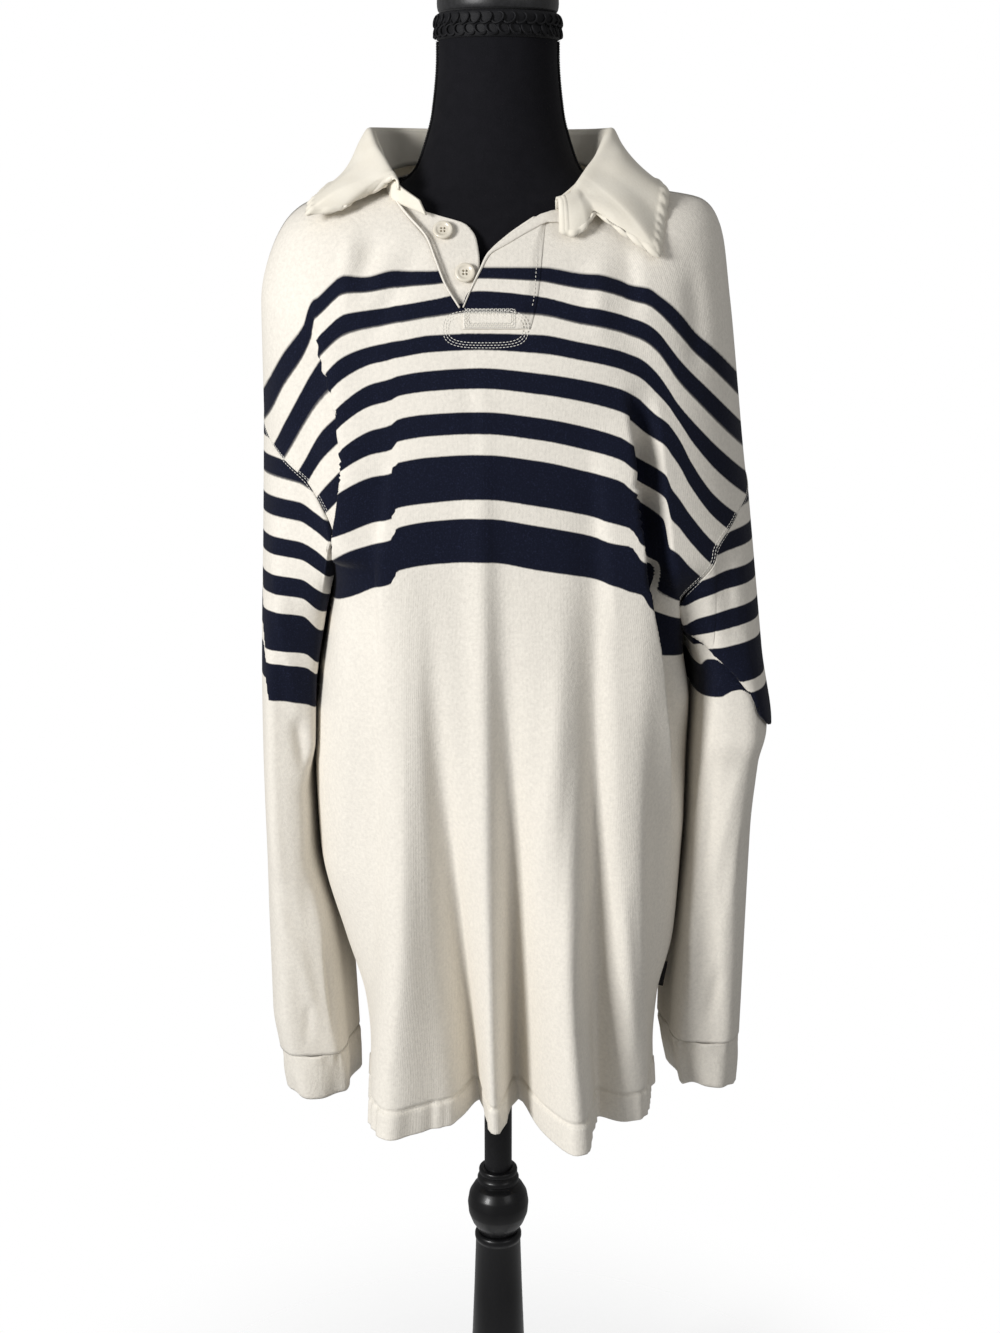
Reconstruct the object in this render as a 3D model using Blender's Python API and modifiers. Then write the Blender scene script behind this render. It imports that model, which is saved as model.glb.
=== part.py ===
"""Rugby shirt on a limbless dress form with a turned wooden stand.

Metres, +Z up. The form faces -Y; +X is the wearer's left. Everything hangs on one empty that
stands on the pole's axis, so the empty's place sets where the whole object's origin lies.

The shirt's body is a stack of rings (LEVELS). Each ring is a superellipse whose sides, front and
back may lie at different heights, so the rings lie on the shoulders at the top and hang level
at the hem. Folds are ridges and valleys added along the cloth's normal.
"""

import math
from collections import defaultdict, namedtuple

import bmesh
import bpy
from mathutils import Vector

# ---------------------------------------------------------------- driving dimensions

POLE_X, POLE_Y = 0.0, -0.061          # the pole's axis, seen from the middle of the whole object
WALL = 0.0020                        # jersey with its seams
FIRM_WALL = 0.0024                   # collar, cuffs and placket: two plies
SEAM_INSET = 0.0004                  # from a piece's edge to its seam
GAP = 0.0003                         # between piled pieces
BUTTON_RADIUS, BUTTON_THICKNESS = 0.0085, 0.0030

POLE_RADIUS, POLE_FOOT = 0.0135, 0.170
BORE_RADIUS = 0.0142
COLUMN_FOOT = 0.075
LEG_COUNT, LEG_THICKNESS, LEG_REACH = 3, 0.026, 0.285
FOOT_FLAT = 0.024                    # length of each leg's foot that lies flat on the floor

# One row per ring of the shirt's body. right/left: half widths, front/back: depths from the axis,
# *_z: heights of the ring's four quarters, square: the superellipse's power, right_cut/left_cut:
# how far out the flat of the panel goes (to the shoulder seam, the armhole, or the side's corner).
Level = namedtuple(
    "Level", "name right left front back right_z left_z front_z back_z square right_cut left_cut"
)
LEVELS = (
    Level("neck", 0.100, 0.088, 0.072, 0.066, 1.383, 1.386, 1.352, 1.397, 2.4, 1, 1),
    Level("shoulder middle", 0.130, 0.127, 0.092, 0.088, 1.3765, 1.378, 1.318, 1.368, 2.3, 1, 1),
    Level("shoulder tip", 0.168, 0.170, 0.106, 0.103, 1.364, 1.367, 1.284, 1.335, 2.3, 1, 1),
    Level("shoulder drop", 0.190, 0.188, 0.115, 0.112, 1.340, 1.342, 1.252, 1.298, 2.3, 1, 1),
    Level("upper arm", 0.206, 0.200, 0.123, 0.117, 1.283, 1.283, 1.215, 1.250, 2.3, 1, 1),
    Level("sleeve point", 0.2065, 0.2175, 0.130, 0.119, 1.172, 1.135, 1.160, 1.180, 2.3, 1, 1),
    Level("armhole upper", 0.2075, 0.228, 0.132, 0.119, 1.140, 1.098, 1.125, 1.130, 2.3, 0.885, 0.905),
    Level("armhole lower", 0.209, 0.236, 0.132, 0.118, 1.110, 1.060, 1.092, 1.095, 2.4, 0.756, 0.792),
    Level("crotch", 0.147, 0.166, 0.131, 0.117, 1.085, 1.025, 1.058, 1.060, 3.8, 0.95, 0.95),
    Level("underarm", 0.150, 0.166, 0.130, 0.115, 1.045, 0.985, 1.018, 1.018, 3.4, 0.95, 0.95),
    Level("below bust", 0.163, 0.1735, 0.128, 0.113, 0.965, 0.930, 0.950, 0.950, 3.0, 0.95, 0.95),
    Level("waist", 0.168, 0.1745, 0.126, 0.112, 0.870, 0.860, 0.865, 0.865, 2.7, 0.95, 0.95),
    Level("hip", 0.1655, 0.171, 0.123, 0.112, 0.790, 0.785, 0.790, 0.790, 2.6, 0.95, 0.95),
    Level("below hip", 0.145, 0.166, 0.120, 0.112, 0.705, 0.705, 0.705, 0.705, 2.6, 0.95, 0.95),
    Level("skirt", 0.1245, 0.152, 0.117, 0.111, 0.640, 0.640, 0.640, 0.640, 2.6, 0.95, 0.95),
    Level("above hem", 0.1165, 0.1485, 0.115, 0.110, 0.590, 0.590, 0.590, 0.590, 2.6, 0.95, 0.95),
    Level("hem", 0.120, 0.151, 0.114, 0.110, 0.543, 0.545, 0.542, 0.544, 2.6, 0.95, 0.95),
)
SLEEVE_POINT, CROTCH, HEM = 5, 8, 16
UNDERARM_DROP = 0.9                  # levels by which the armhole's foot hangs below its corners
DROP_FADE = 3                        # levels over which that evens out

# The front's neck edge as seen from the front, with the opening down to its foot.
NeckEdge = namedtuple("NeckEdge", "name x z")
NECK_EDGE = (
    NeckEdge("right neck point", -0.100, 1.383),
    NeckEdge("right collar end", -0.0905, 1.3765),
    NeckEdge("button band top", -0.0740, 1.3560),
    NeckEdge("button band upper", -0.0580, 1.3380),
    NeckEdge("button band lower", -0.0430, 1.3020),
    NeckEdge("foot of the opening", -0.0300, 1.2830),
    NeckEdge("top band edge", -0.0100, 1.3225),
    NeckEdge("top band roll", 0.0080, 1.3390),
    NeckEdge("top band top", 0.0300, 1.3520),
    NeckEdge("left collar end", 0.0450, 1.3600),
    NeckEdge("left neck point", 0.0880, 1.3860),
)
NECK_FADE = 4.0                      # the level at which the rings no longer follow the neck edge

# A fold runs from (x_high, z_high) down to (x_low, z_low). high, middle and low are how far it
# stands out at its top, middle and foot; wide_minus and wide_plus are its half widths to each side.
Fold = namedtuple(
    "Fold", "name x_high z_high x_low z_low high middle low wide_minus wide_plus"
)
FRONT_FOLDS = (
    Fold("right crest", -0.066, 1.12, -0.080, 0.54, 0.000, 0.012, 0.044, 0.021, 0.026),
    Fold("right valley", -0.034, 1.10, -0.027, 0.54, 0.000, -0.012, -0.058, 0.014, 0.012),
    Fold("centre ridge", -0.011, 1.20, -0.006, 0.54, 0.000, 0.010, 0.016, 0.012, 0.011),
    Fold("centre valley", 0.018, 1.10, 0.020, 0.54, 0.000, -0.014, -0.058, 0.012, 0.014),
    Fold("left crest", 0.078, 1.12, 0.058, 0.54, 0.000, 0.014, 0.056, 0.026, 0.024),
    Fold("left step", 0.108, 1.00, 0.098, 0.54, 0.000, -0.006, -0.012, 0.010, 0.014),
    Fold("left panel", 0.132, 0.95, 0.122, 0.54, 0.000, 0.004, 0.010, 0.014, 0.016),
    Fold("armpit trough", 0.116, 1.21, 0.140, 0.90, 0.000, -0.017, 0.000, 0.018, 0.014),
    Fold("right armpit trough", -0.163, 1.27, -0.150, 1.03, 0.000, -0.008, 0.000, 0.014, 0.016),
)
BACK_FOLDS = (
    Fold("right crest", -0.070, 1.20, -0.078, 0.54, 0.000, 0.012, 0.030, 0.022, 0.022),
    Fold("right valley", -0.040, 1.10, -0.036, 0.54, 0.000, -0.010, -0.034, 0.016, 0.016),
    Fold("centre crest", 0.004, 1.24, 0.002, 0.54, 0.000, 0.012, 0.026, 0.020, 0.018),
    Fold("left valley", 0.042, 1.08, 0.040, 0.54, 0.000, -0.010, -0.036, 0.015, 0.017),
    Fold("left crest", 0.078, 1.18, 0.086, 0.54, 0.000, 0.012, 0.030, 0.020, 0.022),
    Fold("outer valley", 0.126, 1.05, 0.122, 0.54, 0.000, -0.006, -0.014, 0.014, 0.014),
)

# One row per ring of a sleeve. outer/inner: distance from the axis, front/back: depths, wave: how
# far the cloth's flutes stand out of the ring.
Tube = namedtuple("Tube", "name z outer inner front back wave")
RIGHT_SLEEVE = (
    Tube("under the armhole", 1.015, 0.2115, 0.1560, 0.080, 0.086, 0.000),
    Tube("biceps", 0.950, 0.2135, 0.1680, 0.079, 0.086, 0.001),
    Tube("elbow", 0.870, 0.2148, 0.1712, 0.073, 0.083, 0.003),
    Tube("forearm", 0.790, 0.2150, 0.1690, 0.065, 0.078, 0.004),
    Tube("lower forearm", 0.705, 0.2160, 0.1530, 0.055, 0.071, 0.004),
    Tube("above the cuff", 0.620, 0.2160, 0.1470, 0.045, 0.062, 0.003),
    Tube("cuff seam", 0.578, 0.2110, 0.1450, 0.040, 0.054, 0.003),
)
LEFT_SLEEVE = (
    Tube("under the armhole", 0.960, 0.2450, 0.1760, 0.082, 0.088, 0.000),
    Tube("flap", 0.905, 0.2515, 0.1790, 0.082, 0.088, 0.001),
    Tube("below the flap", 0.872, 0.2430, 0.1780, 0.074, 0.085, 0.002),
    Tube("forearm", 0.800, 0.2370, 0.1765, 0.066, 0.079, 0.004),
    Tube("lower forearm", 0.715, 0.2342, 0.1700, 0.056, 0.071, 0.004),
    Tube("above the cuff", 0.640, 0.2330, 0.1660, 0.047, 0.062, 0.003),
    Tube("cuff seam", 0.592, 0.2325, 0.1650, 0.041, 0.055, 0.003),
)
RIGHT_CUFF = (
    Tube("cuff seam", 0.577, 0.2080, 0.1450, 0.037, 0.050, 0.004),
    Tube("cuff middle", 0.555, 0.2075, 0.1435, 0.036, 0.048, 0.005),
    Tube("cuff edge", 0.531, 0.2040, 0.1440, 0.035, 0.046, 0.006),
)
LEFT_CUFF = (
    Tube("cuff seam", 0.591, 0.2310, 0.1655, 0.038, 0.050, 0.004),
    Tube("cuff middle", 0.568, 0.2318, 0.1690, 0.037, 0.049, 0.005),
    Tube("cuff edge", 0.540, 0.2300, 0.1760, 0.036, 0.047, 0.006),
)
SLEEVE_SQUARE, SLEEVE_WAVES, CUFF_WAVES, CUFF_SEGMENTS = 2.4, 5, 4, 20

# One row per station of the collar, from the wearer's right front round the back of the neck to
# the left front: the stand's foot, the roll line and the edge of the leaf.
Station = namedtuple("Station", "name foot roll edge")
COLLAR = (
    Station("right end", (-0.062, -0.072, 1.3585), (-0.066, -0.0700, 1.3690), None),
    Station("right front", (-0.088, -0.046, 1.3790), (-0.090, -0.054, 1.3900), (-0.158, -0.066, 1.3560)),
    Station("right turn", (-0.096, -0.026, 1.3840), (-0.103, -0.032, 1.4120), (-0.166, -0.036, 1.3680)),
    Station("right side", (-0.1005, 0.002, 1.3860), (-0.110, 0.000, 1.4270), (-0.164, 0.012, 1.3750)),
    Station("right back", (-0.076, 0.046, 1.3960), (-0.087, 0.058, 1.4280), (-0.126, 0.085, 1.3700)),
    Station("centre back", (0.000, 0.067, 1.3995), (0.000, 0.083, 1.4270), (0.000, 0.112, 1.3610)),
    Station("left back", (0.068, 0.044, 1.3970), (0.078, 0.056, 1.4270), (0.116, 0.086, 1.3700)),
    Station("left side", (0.0885, 0.002, 1.3890), (0.0965, 0.000, 1.4270), (0.150, 0.012, 1.3780)),
    Station("left turn", (0.0815, -0.028, 1.3815), (0.084, -0.038, 1.4040), (0.146, -0.036, 1.3720)),
    Station("left front", (0.069, -0.052, 1.3775), (0.070, -0.060, 1.3860), (0.132, -0.088, 1.3210)),
    Station("left end", (0.048, -0.0765, 1.3645), (0.049, -0.0775, 1.3720), None),
)

# The bands of the neck opening, seen from the front: one row per height, from edge to edge.
Band = namedtuple("Band", "z start end")
BUTTON_BAND = (
    Band(1.3600, -0.0800, -0.0590),
    Band(1.3565, -0.0790, -0.0420),
    Band(1.3500, -0.0660, -0.0260),
    Band(1.3380, -0.0600, -0.0175),
    Band(1.3200, -0.0535, -0.0150),
    Band(1.3020, -0.0460, -0.0170),
    Band(1.2860, -0.0370, -0.0260),
)
TOP_BAND = (
    Band(1.3540, 0.0290, 0.0400),
    Band(1.3400, 0.0080, 0.0385),
    Band(1.3250, -0.0085, 0.0370),
    Band(1.3050, -0.0180, 0.0350),
    Band(1.2850, -0.0280, 0.0320),
    Band(1.2660, -0.0285, 0.0270),
)
BAND_WALL, BAND_ROWS, BAND_COLUMNS = 0.0016, 6, 4
BUTTON_LIFT = 0.0003                 # over the button band's outer side
BUTTONS = (("button_upper", -0.0452, 1.3440), ("button_lower", -0.0268, 1.3105))

LABEL_LEVEL, LABEL_WIDTH, LABEL_HEIGHT, LABEL_THICKNESS = 13.9, 0.0065, 0.025, 0.0018
STAND_SECTIONS, LEAF_SECTIONS, LEAF_WALL = 24, 24, 0.0016

# One row per ring of the form, from the top of the neck down.
Ring = namedtuple("Ring", "name z side front back")
FORM = (
    Ring("neck top", 1.5190, 0.0500, 0.0500, 0.0500),
    Ring("neck", 1.4860, 0.0502, 0.0502, 0.0502),
    Ring("neck foot", 1.4400, 0.0545, 0.0500, 0.0520),
    Ring("neck turn", 1.4120, 0.0620, 0.0510, 0.0550),
    Ring("neck spread", 1.3930, 0.0700, 0.0520, 0.0580),
    Ring("trapezius", 1.3800, 0.0860, 0.0535, 0.0640),
    Ring("shoulder", 1.3700, 0.1200, 0.0560, 0.0710),
    Ring("shoulder tip", 1.3580, 0.1540, 0.0620, 0.0790),
    Ring("shoulder edge", 1.3380, 0.1680, 0.0700, 0.0870),
    Ring("arm plate", 1.3000, 0.1720, 0.0840, 0.0970),
    Ring("upper chest", 1.2500, 0.1690, 0.0990, 0.1050),
    Ring("chest", 1.1950, 0.1600, 0.1120, 0.1060),
    Ring("bust", 1.1350, 0.1450, 0.1180, 0.1020),
    Ring("under bust", 1.0600, 0.1300, 0.1060, 0.0920),
    Ring("waist", 0.9700, 0.1180, 0.0900, 0.0840),
    Ring("high hip", 0.8800, 0.1320, 0.0860, 0.0900),
    Ring("hip", 0.8000, 0.1420, 0.0790, 0.0940),
    Ring("seat", 0.7700, 0.1390, 0.0750, 0.0900),
    Ring("lower edge", 0.7600, 0.1310, 0.0680, 0.0830),
)
FORM_SEGMENTS = 28

# Turned profiles, outer side from the top down: radius, height.
NECK_CAP = ((0.0060, 1.5640), (0.0180, 1.5630), (0.0330, 1.5580), (0.0450, 1.5480), (0.0505, 1.5360),
            (0.0515, 1.5290), (0.0510, 1.5220), (0.0495, 1.5195))
NECK_BRAID = ((0.0525, 1.5180), (0.0540, 1.5160), (0.0548, 1.5130), (0.0540, 1.5095), (0.0533, 1.5080),
              (0.0540, 1.5065), (0.0548, 1.5030), (0.0540, 1.4995), (0.0525, 1.4975))
KNOB = ((0.0175, 0.4390), (0.0190, 0.4375), (0.0190, 0.4340), (0.0172, 0.4320), (0.0205, 0.4290),
        (0.0205, 0.4245), (0.0185, 0.4225), (0.0240, 0.4190), (0.0285, 0.4110), (0.0302, 0.4010),
        (0.0292, 0.3900), (0.0255, 0.3800), (0.0205, 0.3725), (0.0195, 0.3690))
COLUMN = ((0.0215, 0.3685), (0.0232, 0.3665), (0.0232, 0.3620), (0.0222, 0.3600), (0.0240, 0.3050),
          (0.0270, 0.2300), (0.0300, 0.1750), (0.0325, 0.1700), (0.0325, 0.1640), (0.0305, 0.1600),
          (0.0305, 0.0850), (0.0285, COLUMN_FOOT))
TURNED_STEPS = 28

# The leg's centre line, from the column outwards: distance from the axis, height, half height.
Leg = namedtuple("Leg", "reach z half")
LEG = (
    Leg(0.0318, 0.118, 0.030),
    Leg(0.0750, 0.116, 0.025),
    Leg(0.1300, 0.098, 0.019),
    Leg(0.1900, 0.062, 0.014),
    Leg(0.2400, 0.030, 0.012),
    Leg(LEG_REACH - 0.020, 0.012, 0.012),
    Leg(LEG_REACH, 0.010, 0.010),
)
LEG_STEPS = 12

COLUMNS_PER_HALF, WING_COLUMNS = 14, 3
BODY_ROWS = (0, 0.6, 1.2, 2, 3, 4, 4.5, 5, 5.5, 6, 6.5, 7, 7.5, 8, 9, 10, 11, 12, 13, 14, 15, 16)
BACK_COLUMNS_PER_HALF = 10


# ---------------------------------------------------------------- small maths

def mix(a, b, t):
    return a + (b - a) * t


def monotone(xs, ys, x):
    """A smooth curve through the points that never overshoots them."""
    if x <= xs[0]:
        return ys[0]
    if x >= xs[-1]:
        return ys[-1]
    steps = [b - a for a, b in zip(xs, xs[1:])]
    rises = [(b - a) / step for a, b, step in zip(ys, ys[1:], steps)]
    slopes = [rises[0]]
    for before, after in zip(rises, rises[1:]):
        slopes.append(0.0 if before * after <= 0 else 2 * before * after / (before + after))
    slopes.append(rises[-1])
    i = max(k for k in range(len(steps)) if xs[k] <= x)
    t, step = (x - xs[i]) / steps[i], steps[i]
    return (
        (1 + 2 * t) * (1 - t) ** 2 * ys[i]
        + t * (1 - t) ** 2 * step * slopes[i]
        + t * t * (3 - 2 * t) * ys[i + 1]
        + t * t * (t - 1) * step * slopes[i + 1]
    )


def read(table, key, field, value):
    """A column of a table at any place between its rows."""
    rows = sorted(table, key=lambda row: getattr(row, key))
    return monotone([getattr(r, key) for r in rows], [getattr(r, field) for r in rows], value)


def level_value(field, level):
    return monotone(list(range(len(LEVELS))), [getattr(row, field) for row in LEVELS], level)


def power(base, exponent):
    return math.copysign(abs(base) ** exponent, base)


# ---------------------------------------------------------------- the shirt's body

def ring_at(level, facing):
    """The ring's sizes at a level; facing is -1 for the front and 1 for the back."""
    depth, middle_z = ("front", "front_z") if facing < 0 else ("back", "back_z")
    fields = ("right", "left", "square", "right_z", "left_z", "right_cut", "left_cut")
    return {f: level_value(f, level) for f in fields} | {
        "depth": level_value(depth, level),
        "middle_z": level_value(middle_z, level),
    }


def fold_height(folds, x, z):
    """How far the folds stand out of the ring at a place on the front or the back."""
    total = 0.0
    for fold in folds:
        t = (fold.z_high - z) / (fold.z_high - fold.z_low)
        if not 0 <= t <= 1.05:
            continue
        t = min(t, 1.0)
        ends = mix(fold.high, fold.low, t * t)
        height = ends + 4 * t * (1 - t) * (fold.middle - mix(fold.high, fold.low, 0.25))
        away = x - mix(fold.x_high, fold.x_low, t)
        width = fold.wide_minus if away < 0 else fold.wide_plus
        total += height * math.exp(-((away / width) ** 2))
    return total


def body_point(x, level, facing):
    """The point of the shirt's front or back at x, on the ring at this level."""
    ring = ring_at(level, facing)
    half, side_z = (ring["left"], ring["left_z"]) if x > 0 else (ring["right"], ring["right_z"])
    n = ring["square"]
    out = min(abs(x) / half, 1.0)
    y = facing * ring["depth"] * (1 - out**n) ** (1 / n)
    z = mix(ring["middle_z"], side_z, out**n)
    normal = Vector((
        math.copysign(out ** (n - 1) / half, x),
        facing * (abs(y) / ring["depth"]) ** (n - 1) / ring["depth"],
        0,
    )).normalized()
    folds = FRONT_FOLDS if facing < 0 else BACK_FOLDS
    return Vector((x, y, z)) + normal * fold_height(folds, x, z)


def wing_point(side, turn, level, facing):
    """The side of the body under the arm: turn runs from the panel's corner to the side seam."""
    ring = ring_at(level, facing)
    half, side_z, cut = (
        (ring["left"], ring["left_z"], ring["left_cut"])
        if side > 0
        else (ring["right"], ring["right_z"], ring["right_cut"])
    )
    n = ring["square"]
    corner = math.asin(cut ** (n / 2))
    angle = mix(corner, math.pi / 2, turn)
    x = side * half * math.sin(angle) ** (2 / n)
    return body_point(x, level, facing) if turn < 1 else Vector((side * half, 0, side_z))


def neck_edge_z(x):
    """The height of the neck edge at x."""
    for a, b in zip(NECK_EDGE, NECK_EDGE[1:]):
        if x <= b.x:
            return mix(a.z, b.z, max(0.0, (x - a.x) / (b.x - a.x)))
    return NECK_EDGE[-1].z


def neck_level(across):
    """The level at which the column of points at this place across the front meets the neck edge."""
    low, high = 0.0, NECK_FADE
    for _ in range(24):
        middle = (low + high) / 2
        point = column_point(across, middle, -1)
        low, high = (middle, high) if point.z > neck_edge_z(point.x) else (low, middle)
    return low


def spaced(count):
    """Places from 0 to 1, a little closer together near 1, where the ring turns away."""
    return [0.5 * i / count + 0.5 * math.sin(math.pi / 2 * i / count) for i in range(count + 1)]


def column_point(across, level, facing):
    """A point of a panel between its armholes or corners; across runs from -1 to 1."""
    half = level_value("left" if across > 0 else "right", level)
    cut = level_value("left_cut" if across > 0 else "right_cut", level)
    return body_point(across * half * cut, level, facing)


def column(across, facing):
    """A panel's points down one column, which on the front starts at the neck edge."""
    start = neck_level(across) if facing < 0 else 0.0
    levels = [row + start * max(0.0, 1 - row / NECK_FADE) for row in BODY_ROWS]
    return [column_point(across, level, facing) for level in levels]


def panel_grid(facing, count):
    """Rows of points of the front or back, from the wearer's right side seam to the left one."""
    halves = spaced(count)
    across = [-a for a in reversed(halves)] + halves[1:]
    turns = [(i + 1) / WING_COLUMNS for i in range(WING_COLUMNS)]
    columns = [column(a, facing) for a in across]
    grid = []
    for r, row in enumerate(BODY_ROWS):
        wings = {}
        for side in (-1, 1):
            wings[side] = [None] * WING_COLUMNS
            if row >= CROTCH:
                fade = max(0.0, 1 - (row - CROTCH) / DROP_FADE)
                wings[side] = [
                    wing_point(side, t, row + UNDERARM_DROP * t * fade, facing) for t in turns
                ]
        grid.append(wings[-1][::-1] + [points[r] for points in columns] + wings[1])
    return grid


# ---------------------------------------------------------------- sleeves and cuffs

def tube_point(table, side, turn, z, waves):
    """A point on a sleeve's or cuff's ring; turn 0 is outside, a quarter is the front."""
    outer, inner, front, back, wave = (
        read(table, "z", field, z) for field in ("outer", "inner", "front", "back", "wave")
    )
    angle = 2 * math.pi * turn
    away, ahead = math.cos(angle), math.sin(angle)
    flute = 1 + wave * math.cos(waves * angle + 0.6) / ((outer - inner) / 2)
    x = (outer + inner) / 2 + (outer - inner) / 2 * power(away, 2 / SLEEVE_SQUARE)
    y = -(front if ahead > 0 else back) * power(ahead, 2 / SLEEVE_SQUARE) * (0.5 + 0.5 * flute)
    return Vector((side * x, y, z))


def armhole_loop(front, back, side):
    """The armhole's points, from the sleeve point down the front, under the arm and up the back."""
    first = BODY_ROWS.index(SLEEVE_POINT)
    corner = BODY_ROWS.index(CROTCH)

    def edge(grid):
        middle = WING_COLUMNS if side < 0 else len(grid[0]) - 1 - WING_COLUMNS
        down = [grid[r][middle] for r in range(first, corner + 1)]
        step = -1 if side < 0 else 1
        return down + [grid[corner][middle + step * (i + 1)] for i in range(WING_COLUMNS)]

    ahead, behind = edge(front), edge(back)
    return ahead + behind[-2:0:-1]


def sleeve_grid(table, side, loop):
    """Rows round the sleeve, from the armhole down to the cuff seam."""
    count = len(loop)
    corner = BODY_ROWS.index(CROTCH) - BODY_ROWS.index(SLEEVE_POINT)
    corner_turn = 0.36
    turns = []
    for i in range(count):
        j = min(i, count - i)
        turn = (
            corner_turn * j / corner
            if j <= corner
            else mix(corner_turn, 0.5, (j - corner) / (count / 2 - corner))
        )
        turns.append(turn if i <= count / 2 else 1 - turn)
    top = max(row.z for row in table)
    first = [tube_point(table, side, t, top, SLEEVE_WAVES) for t in turns]
    rows = [loop]
    for share in (0.34, 0.67, 1.0):
        rows.append([a.lerp(b, share) for a, b in zip(loop, first)])
    heights = sorted((row.z for row in table), reverse=True)
    between = [mix(a, b, 0.5) for a, b in zip(heights, heights[1:])]
    for z in sorted(heights[1:] + between, reverse=True):
        rows.append([tube_point(table, side, t, z, SLEEVE_WAVES) for t in turns])
    return rows


def cuff_grid(table, side):
    """Rows round a cuff, from its seam to its edge."""
    heights = sorted((row.z for row in table), reverse=True)
    turns = [i / CUFF_SEGMENTS for i in range(CUFF_SEGMENTS)]
    return [[tube_point(table, side, t, z, CUFF_WAVES) for t in turns] for z in heights]


# ---------------------------------------------------------------- making solids

def finish(name, color, roughness, metallic=0.0):
    material = bpy.data.materials.new(name)
    material.use_nodes = True
    shader = material.node_tree.nodes["Principled BSDF"]
    shader.inputs["Base Color"].default_value = (*color, 1)
    shader.inputs["Roughness"].default_value = roughness
    shader.inputs["Metallic"].default_value = metallic
    material.diffuse_color = (*color, 1)
    return material


def add_object(name, data, material, parts, origin):
    made = bpy.data.objects.new(name, data)
    data.materials.append(material)
    parts.objects.link(made)
    made.parent = origin
    return made


def mesh_of(name, points, faces):
    mesh = bpy.data.meshes.new(name)
    mesh.from_pydata(points, [], faces)
    mesh.validate()
    return mesh


# Rows of points, whether the rows are rings, and 1 where the points' order faces out, -1 where in.
Panel = namedtuple("Panel", "grid closed facing")


def cells(grid, closed):
    """The corners (row, column) of each cell whose four points are there."""
    columns = len(grid[0])
    for r in range(len(grid) - 1):
        for c in range(columns if closed else columns - 1):
            corners = ((r, c), (r, (c + 1) % columns), (r + 1, (c + 1) % columns), (r + 1, c))
            if all(grid[i][j] is not None for i, j in corners):
                yield corners


def key(point):
    return tuple(round(value, 6) for value in point)


def shared_normals(panels):
    """Normals at every point of some panels, the same for all the panels that meet there."""
    total = defaultdict(Vector)
    for panel in panels:
        for corners in cells(panel.grid, panel.closed):
            a, b, c, d = (panel.grid[i][j] for i, j in corners)
            across = (c - a).cross(d - b) * panel.facing
            for i, j in corners:
                total[key(panel.grid[i][j])] += across
    return {place: normal.normalized() for place, normal in total.items()}


def inward(panel, r, c, inset):
    """A point of the panel, drawn in from any seam it lies on."""
    grid = panel.grid
    moved = grid[r][c].copy()
    columns = len(grid[0])
    for here, there in (((r - 1, c), (r + 1, c)), ((r + 1, c), (r - 1, c))):
        if not 0 <= here[0] < len(grid) or grid[here[0]][here[1]] is None:
            if 0 <= there[0] < len(grid) and grid[there[0]][there[1]] is not None:
                moved += (grid[there[0]][there[1]] - grid[r][c]).normalized() * inset
    if panel.closed:
        return moved
    for here, there in ((c - 1, c + 1), (c + 1, c - 1)):
        if not 0 <= here < columns or grid[r][here] is None:
            if 0 <= there < columns and grid[r][there] is not None:
                moved += (grid[r][there] - grid[r][c]).normalized() * inset
    return moved


def wall_mesh(name, outer, inner, closed, facing):
    """A closed wall between two grids of points; a None leaves its cells out."""
    index, points = {}, []
    for layer, grid in enumerate((outer, inner)):
        for r, row in enumerate(grid):
            for c, point in enumerate(row):
                if point is not None:
                    index[layer, r, c] = len(points)
                    points.append(point)
    faces, edges = [], defaultdict(int)
    for corners in cells(outer, closed):
        faces.append([index[(0, *corner)] for corner in corners])
        faces.append([index[(1, *corner)] for corner in reversed(corners)])
        for a, b in zip(corners, corners[1:] + corners[:1]):
            edges[a, b] += 1
    for a, b in edges:
        if (b, a) not in edges:
            faces.append([index[(0, *b)], index[(0, *a)], index[(1, *a)], index[(1, *b)]])
    return mesh_of(name, points, faces if facing > 0 else [face[::-1] for face in faces])


def cloth(name, panel, normals, thickness, material, parts, origin, inset=SEAM_INSET):
    """A panel as a wall whose outer side is the panel's points."""
    outer, inner = [], []
    for r, row in enumerate(panel.grid):
        outer.append([None if p is None else inward(panel, r, c, inset) for c, p in enumerate(row)])
        inner.append([
            None if p is None else outer[r][c] - normals[key(p)] * thickness
            for c, p in enumerate(row)
        ])
    mesh = wall_mesh(name, outer, inner, panel.closed, panel.facing)
    made = add_object(name, mesh, material, parts, origin)
    made.data.shade_smooth()
    return made


def turned(name, profile, material, parts, origin, bore=None):
    """A turned piece: a profile down its outer side, closed at the axis or round a bore."""
    points = [Vector((radius, 0, z)) for radius, z in profile]
    if bore:
        points = points + [Vector((bore, 0, profile[-1][1])), Vector((bore, 0, profile[0][1]))]
        links = [(i, (i + 1) % len(points)) for i in range(len(points))]
    else:
        points = [Vector((0, 0, profile[0][1]))] + points + [Vector((0, 0, profile[-1][1]))]
        links = [(i, i + 1) for i in range(len(points) - 1)]
    mesh = bpy.data.meshes.new(name)
    mesh.from_pydata(points, links, [])
    made = add_object(name, mesh, material, parts, origin)
    screw = made.modifiers.new("Turning", "SCREW")
    screw.steps = screw.render_steps = TURNED_STEPS
    screw.use_merge_vertices = True
    screw.merge_threshold = 0.00005
    return made


# ---------------------------------------------------------------- pieces on the front

def front_surface(x, z):
    """The place and outward normal of the front's outer side, seen from the front at (x, z)."""
    def at(across, height):
        low, high = 0.0, float(CROTCH)
        for _ in range(26):
            middle = (low + high) / 2
            low, high = (middle, high) if body_point(across, middle, -1).z > height else (low, middle)
        return body_point(across, low, -1)

    step = 0.002
    normal = (at(x + step, z) - at(x - step, z)).cross(at(x, z + step) - at(x, z - step))
    return at(x, z), normal.normalized()


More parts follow.
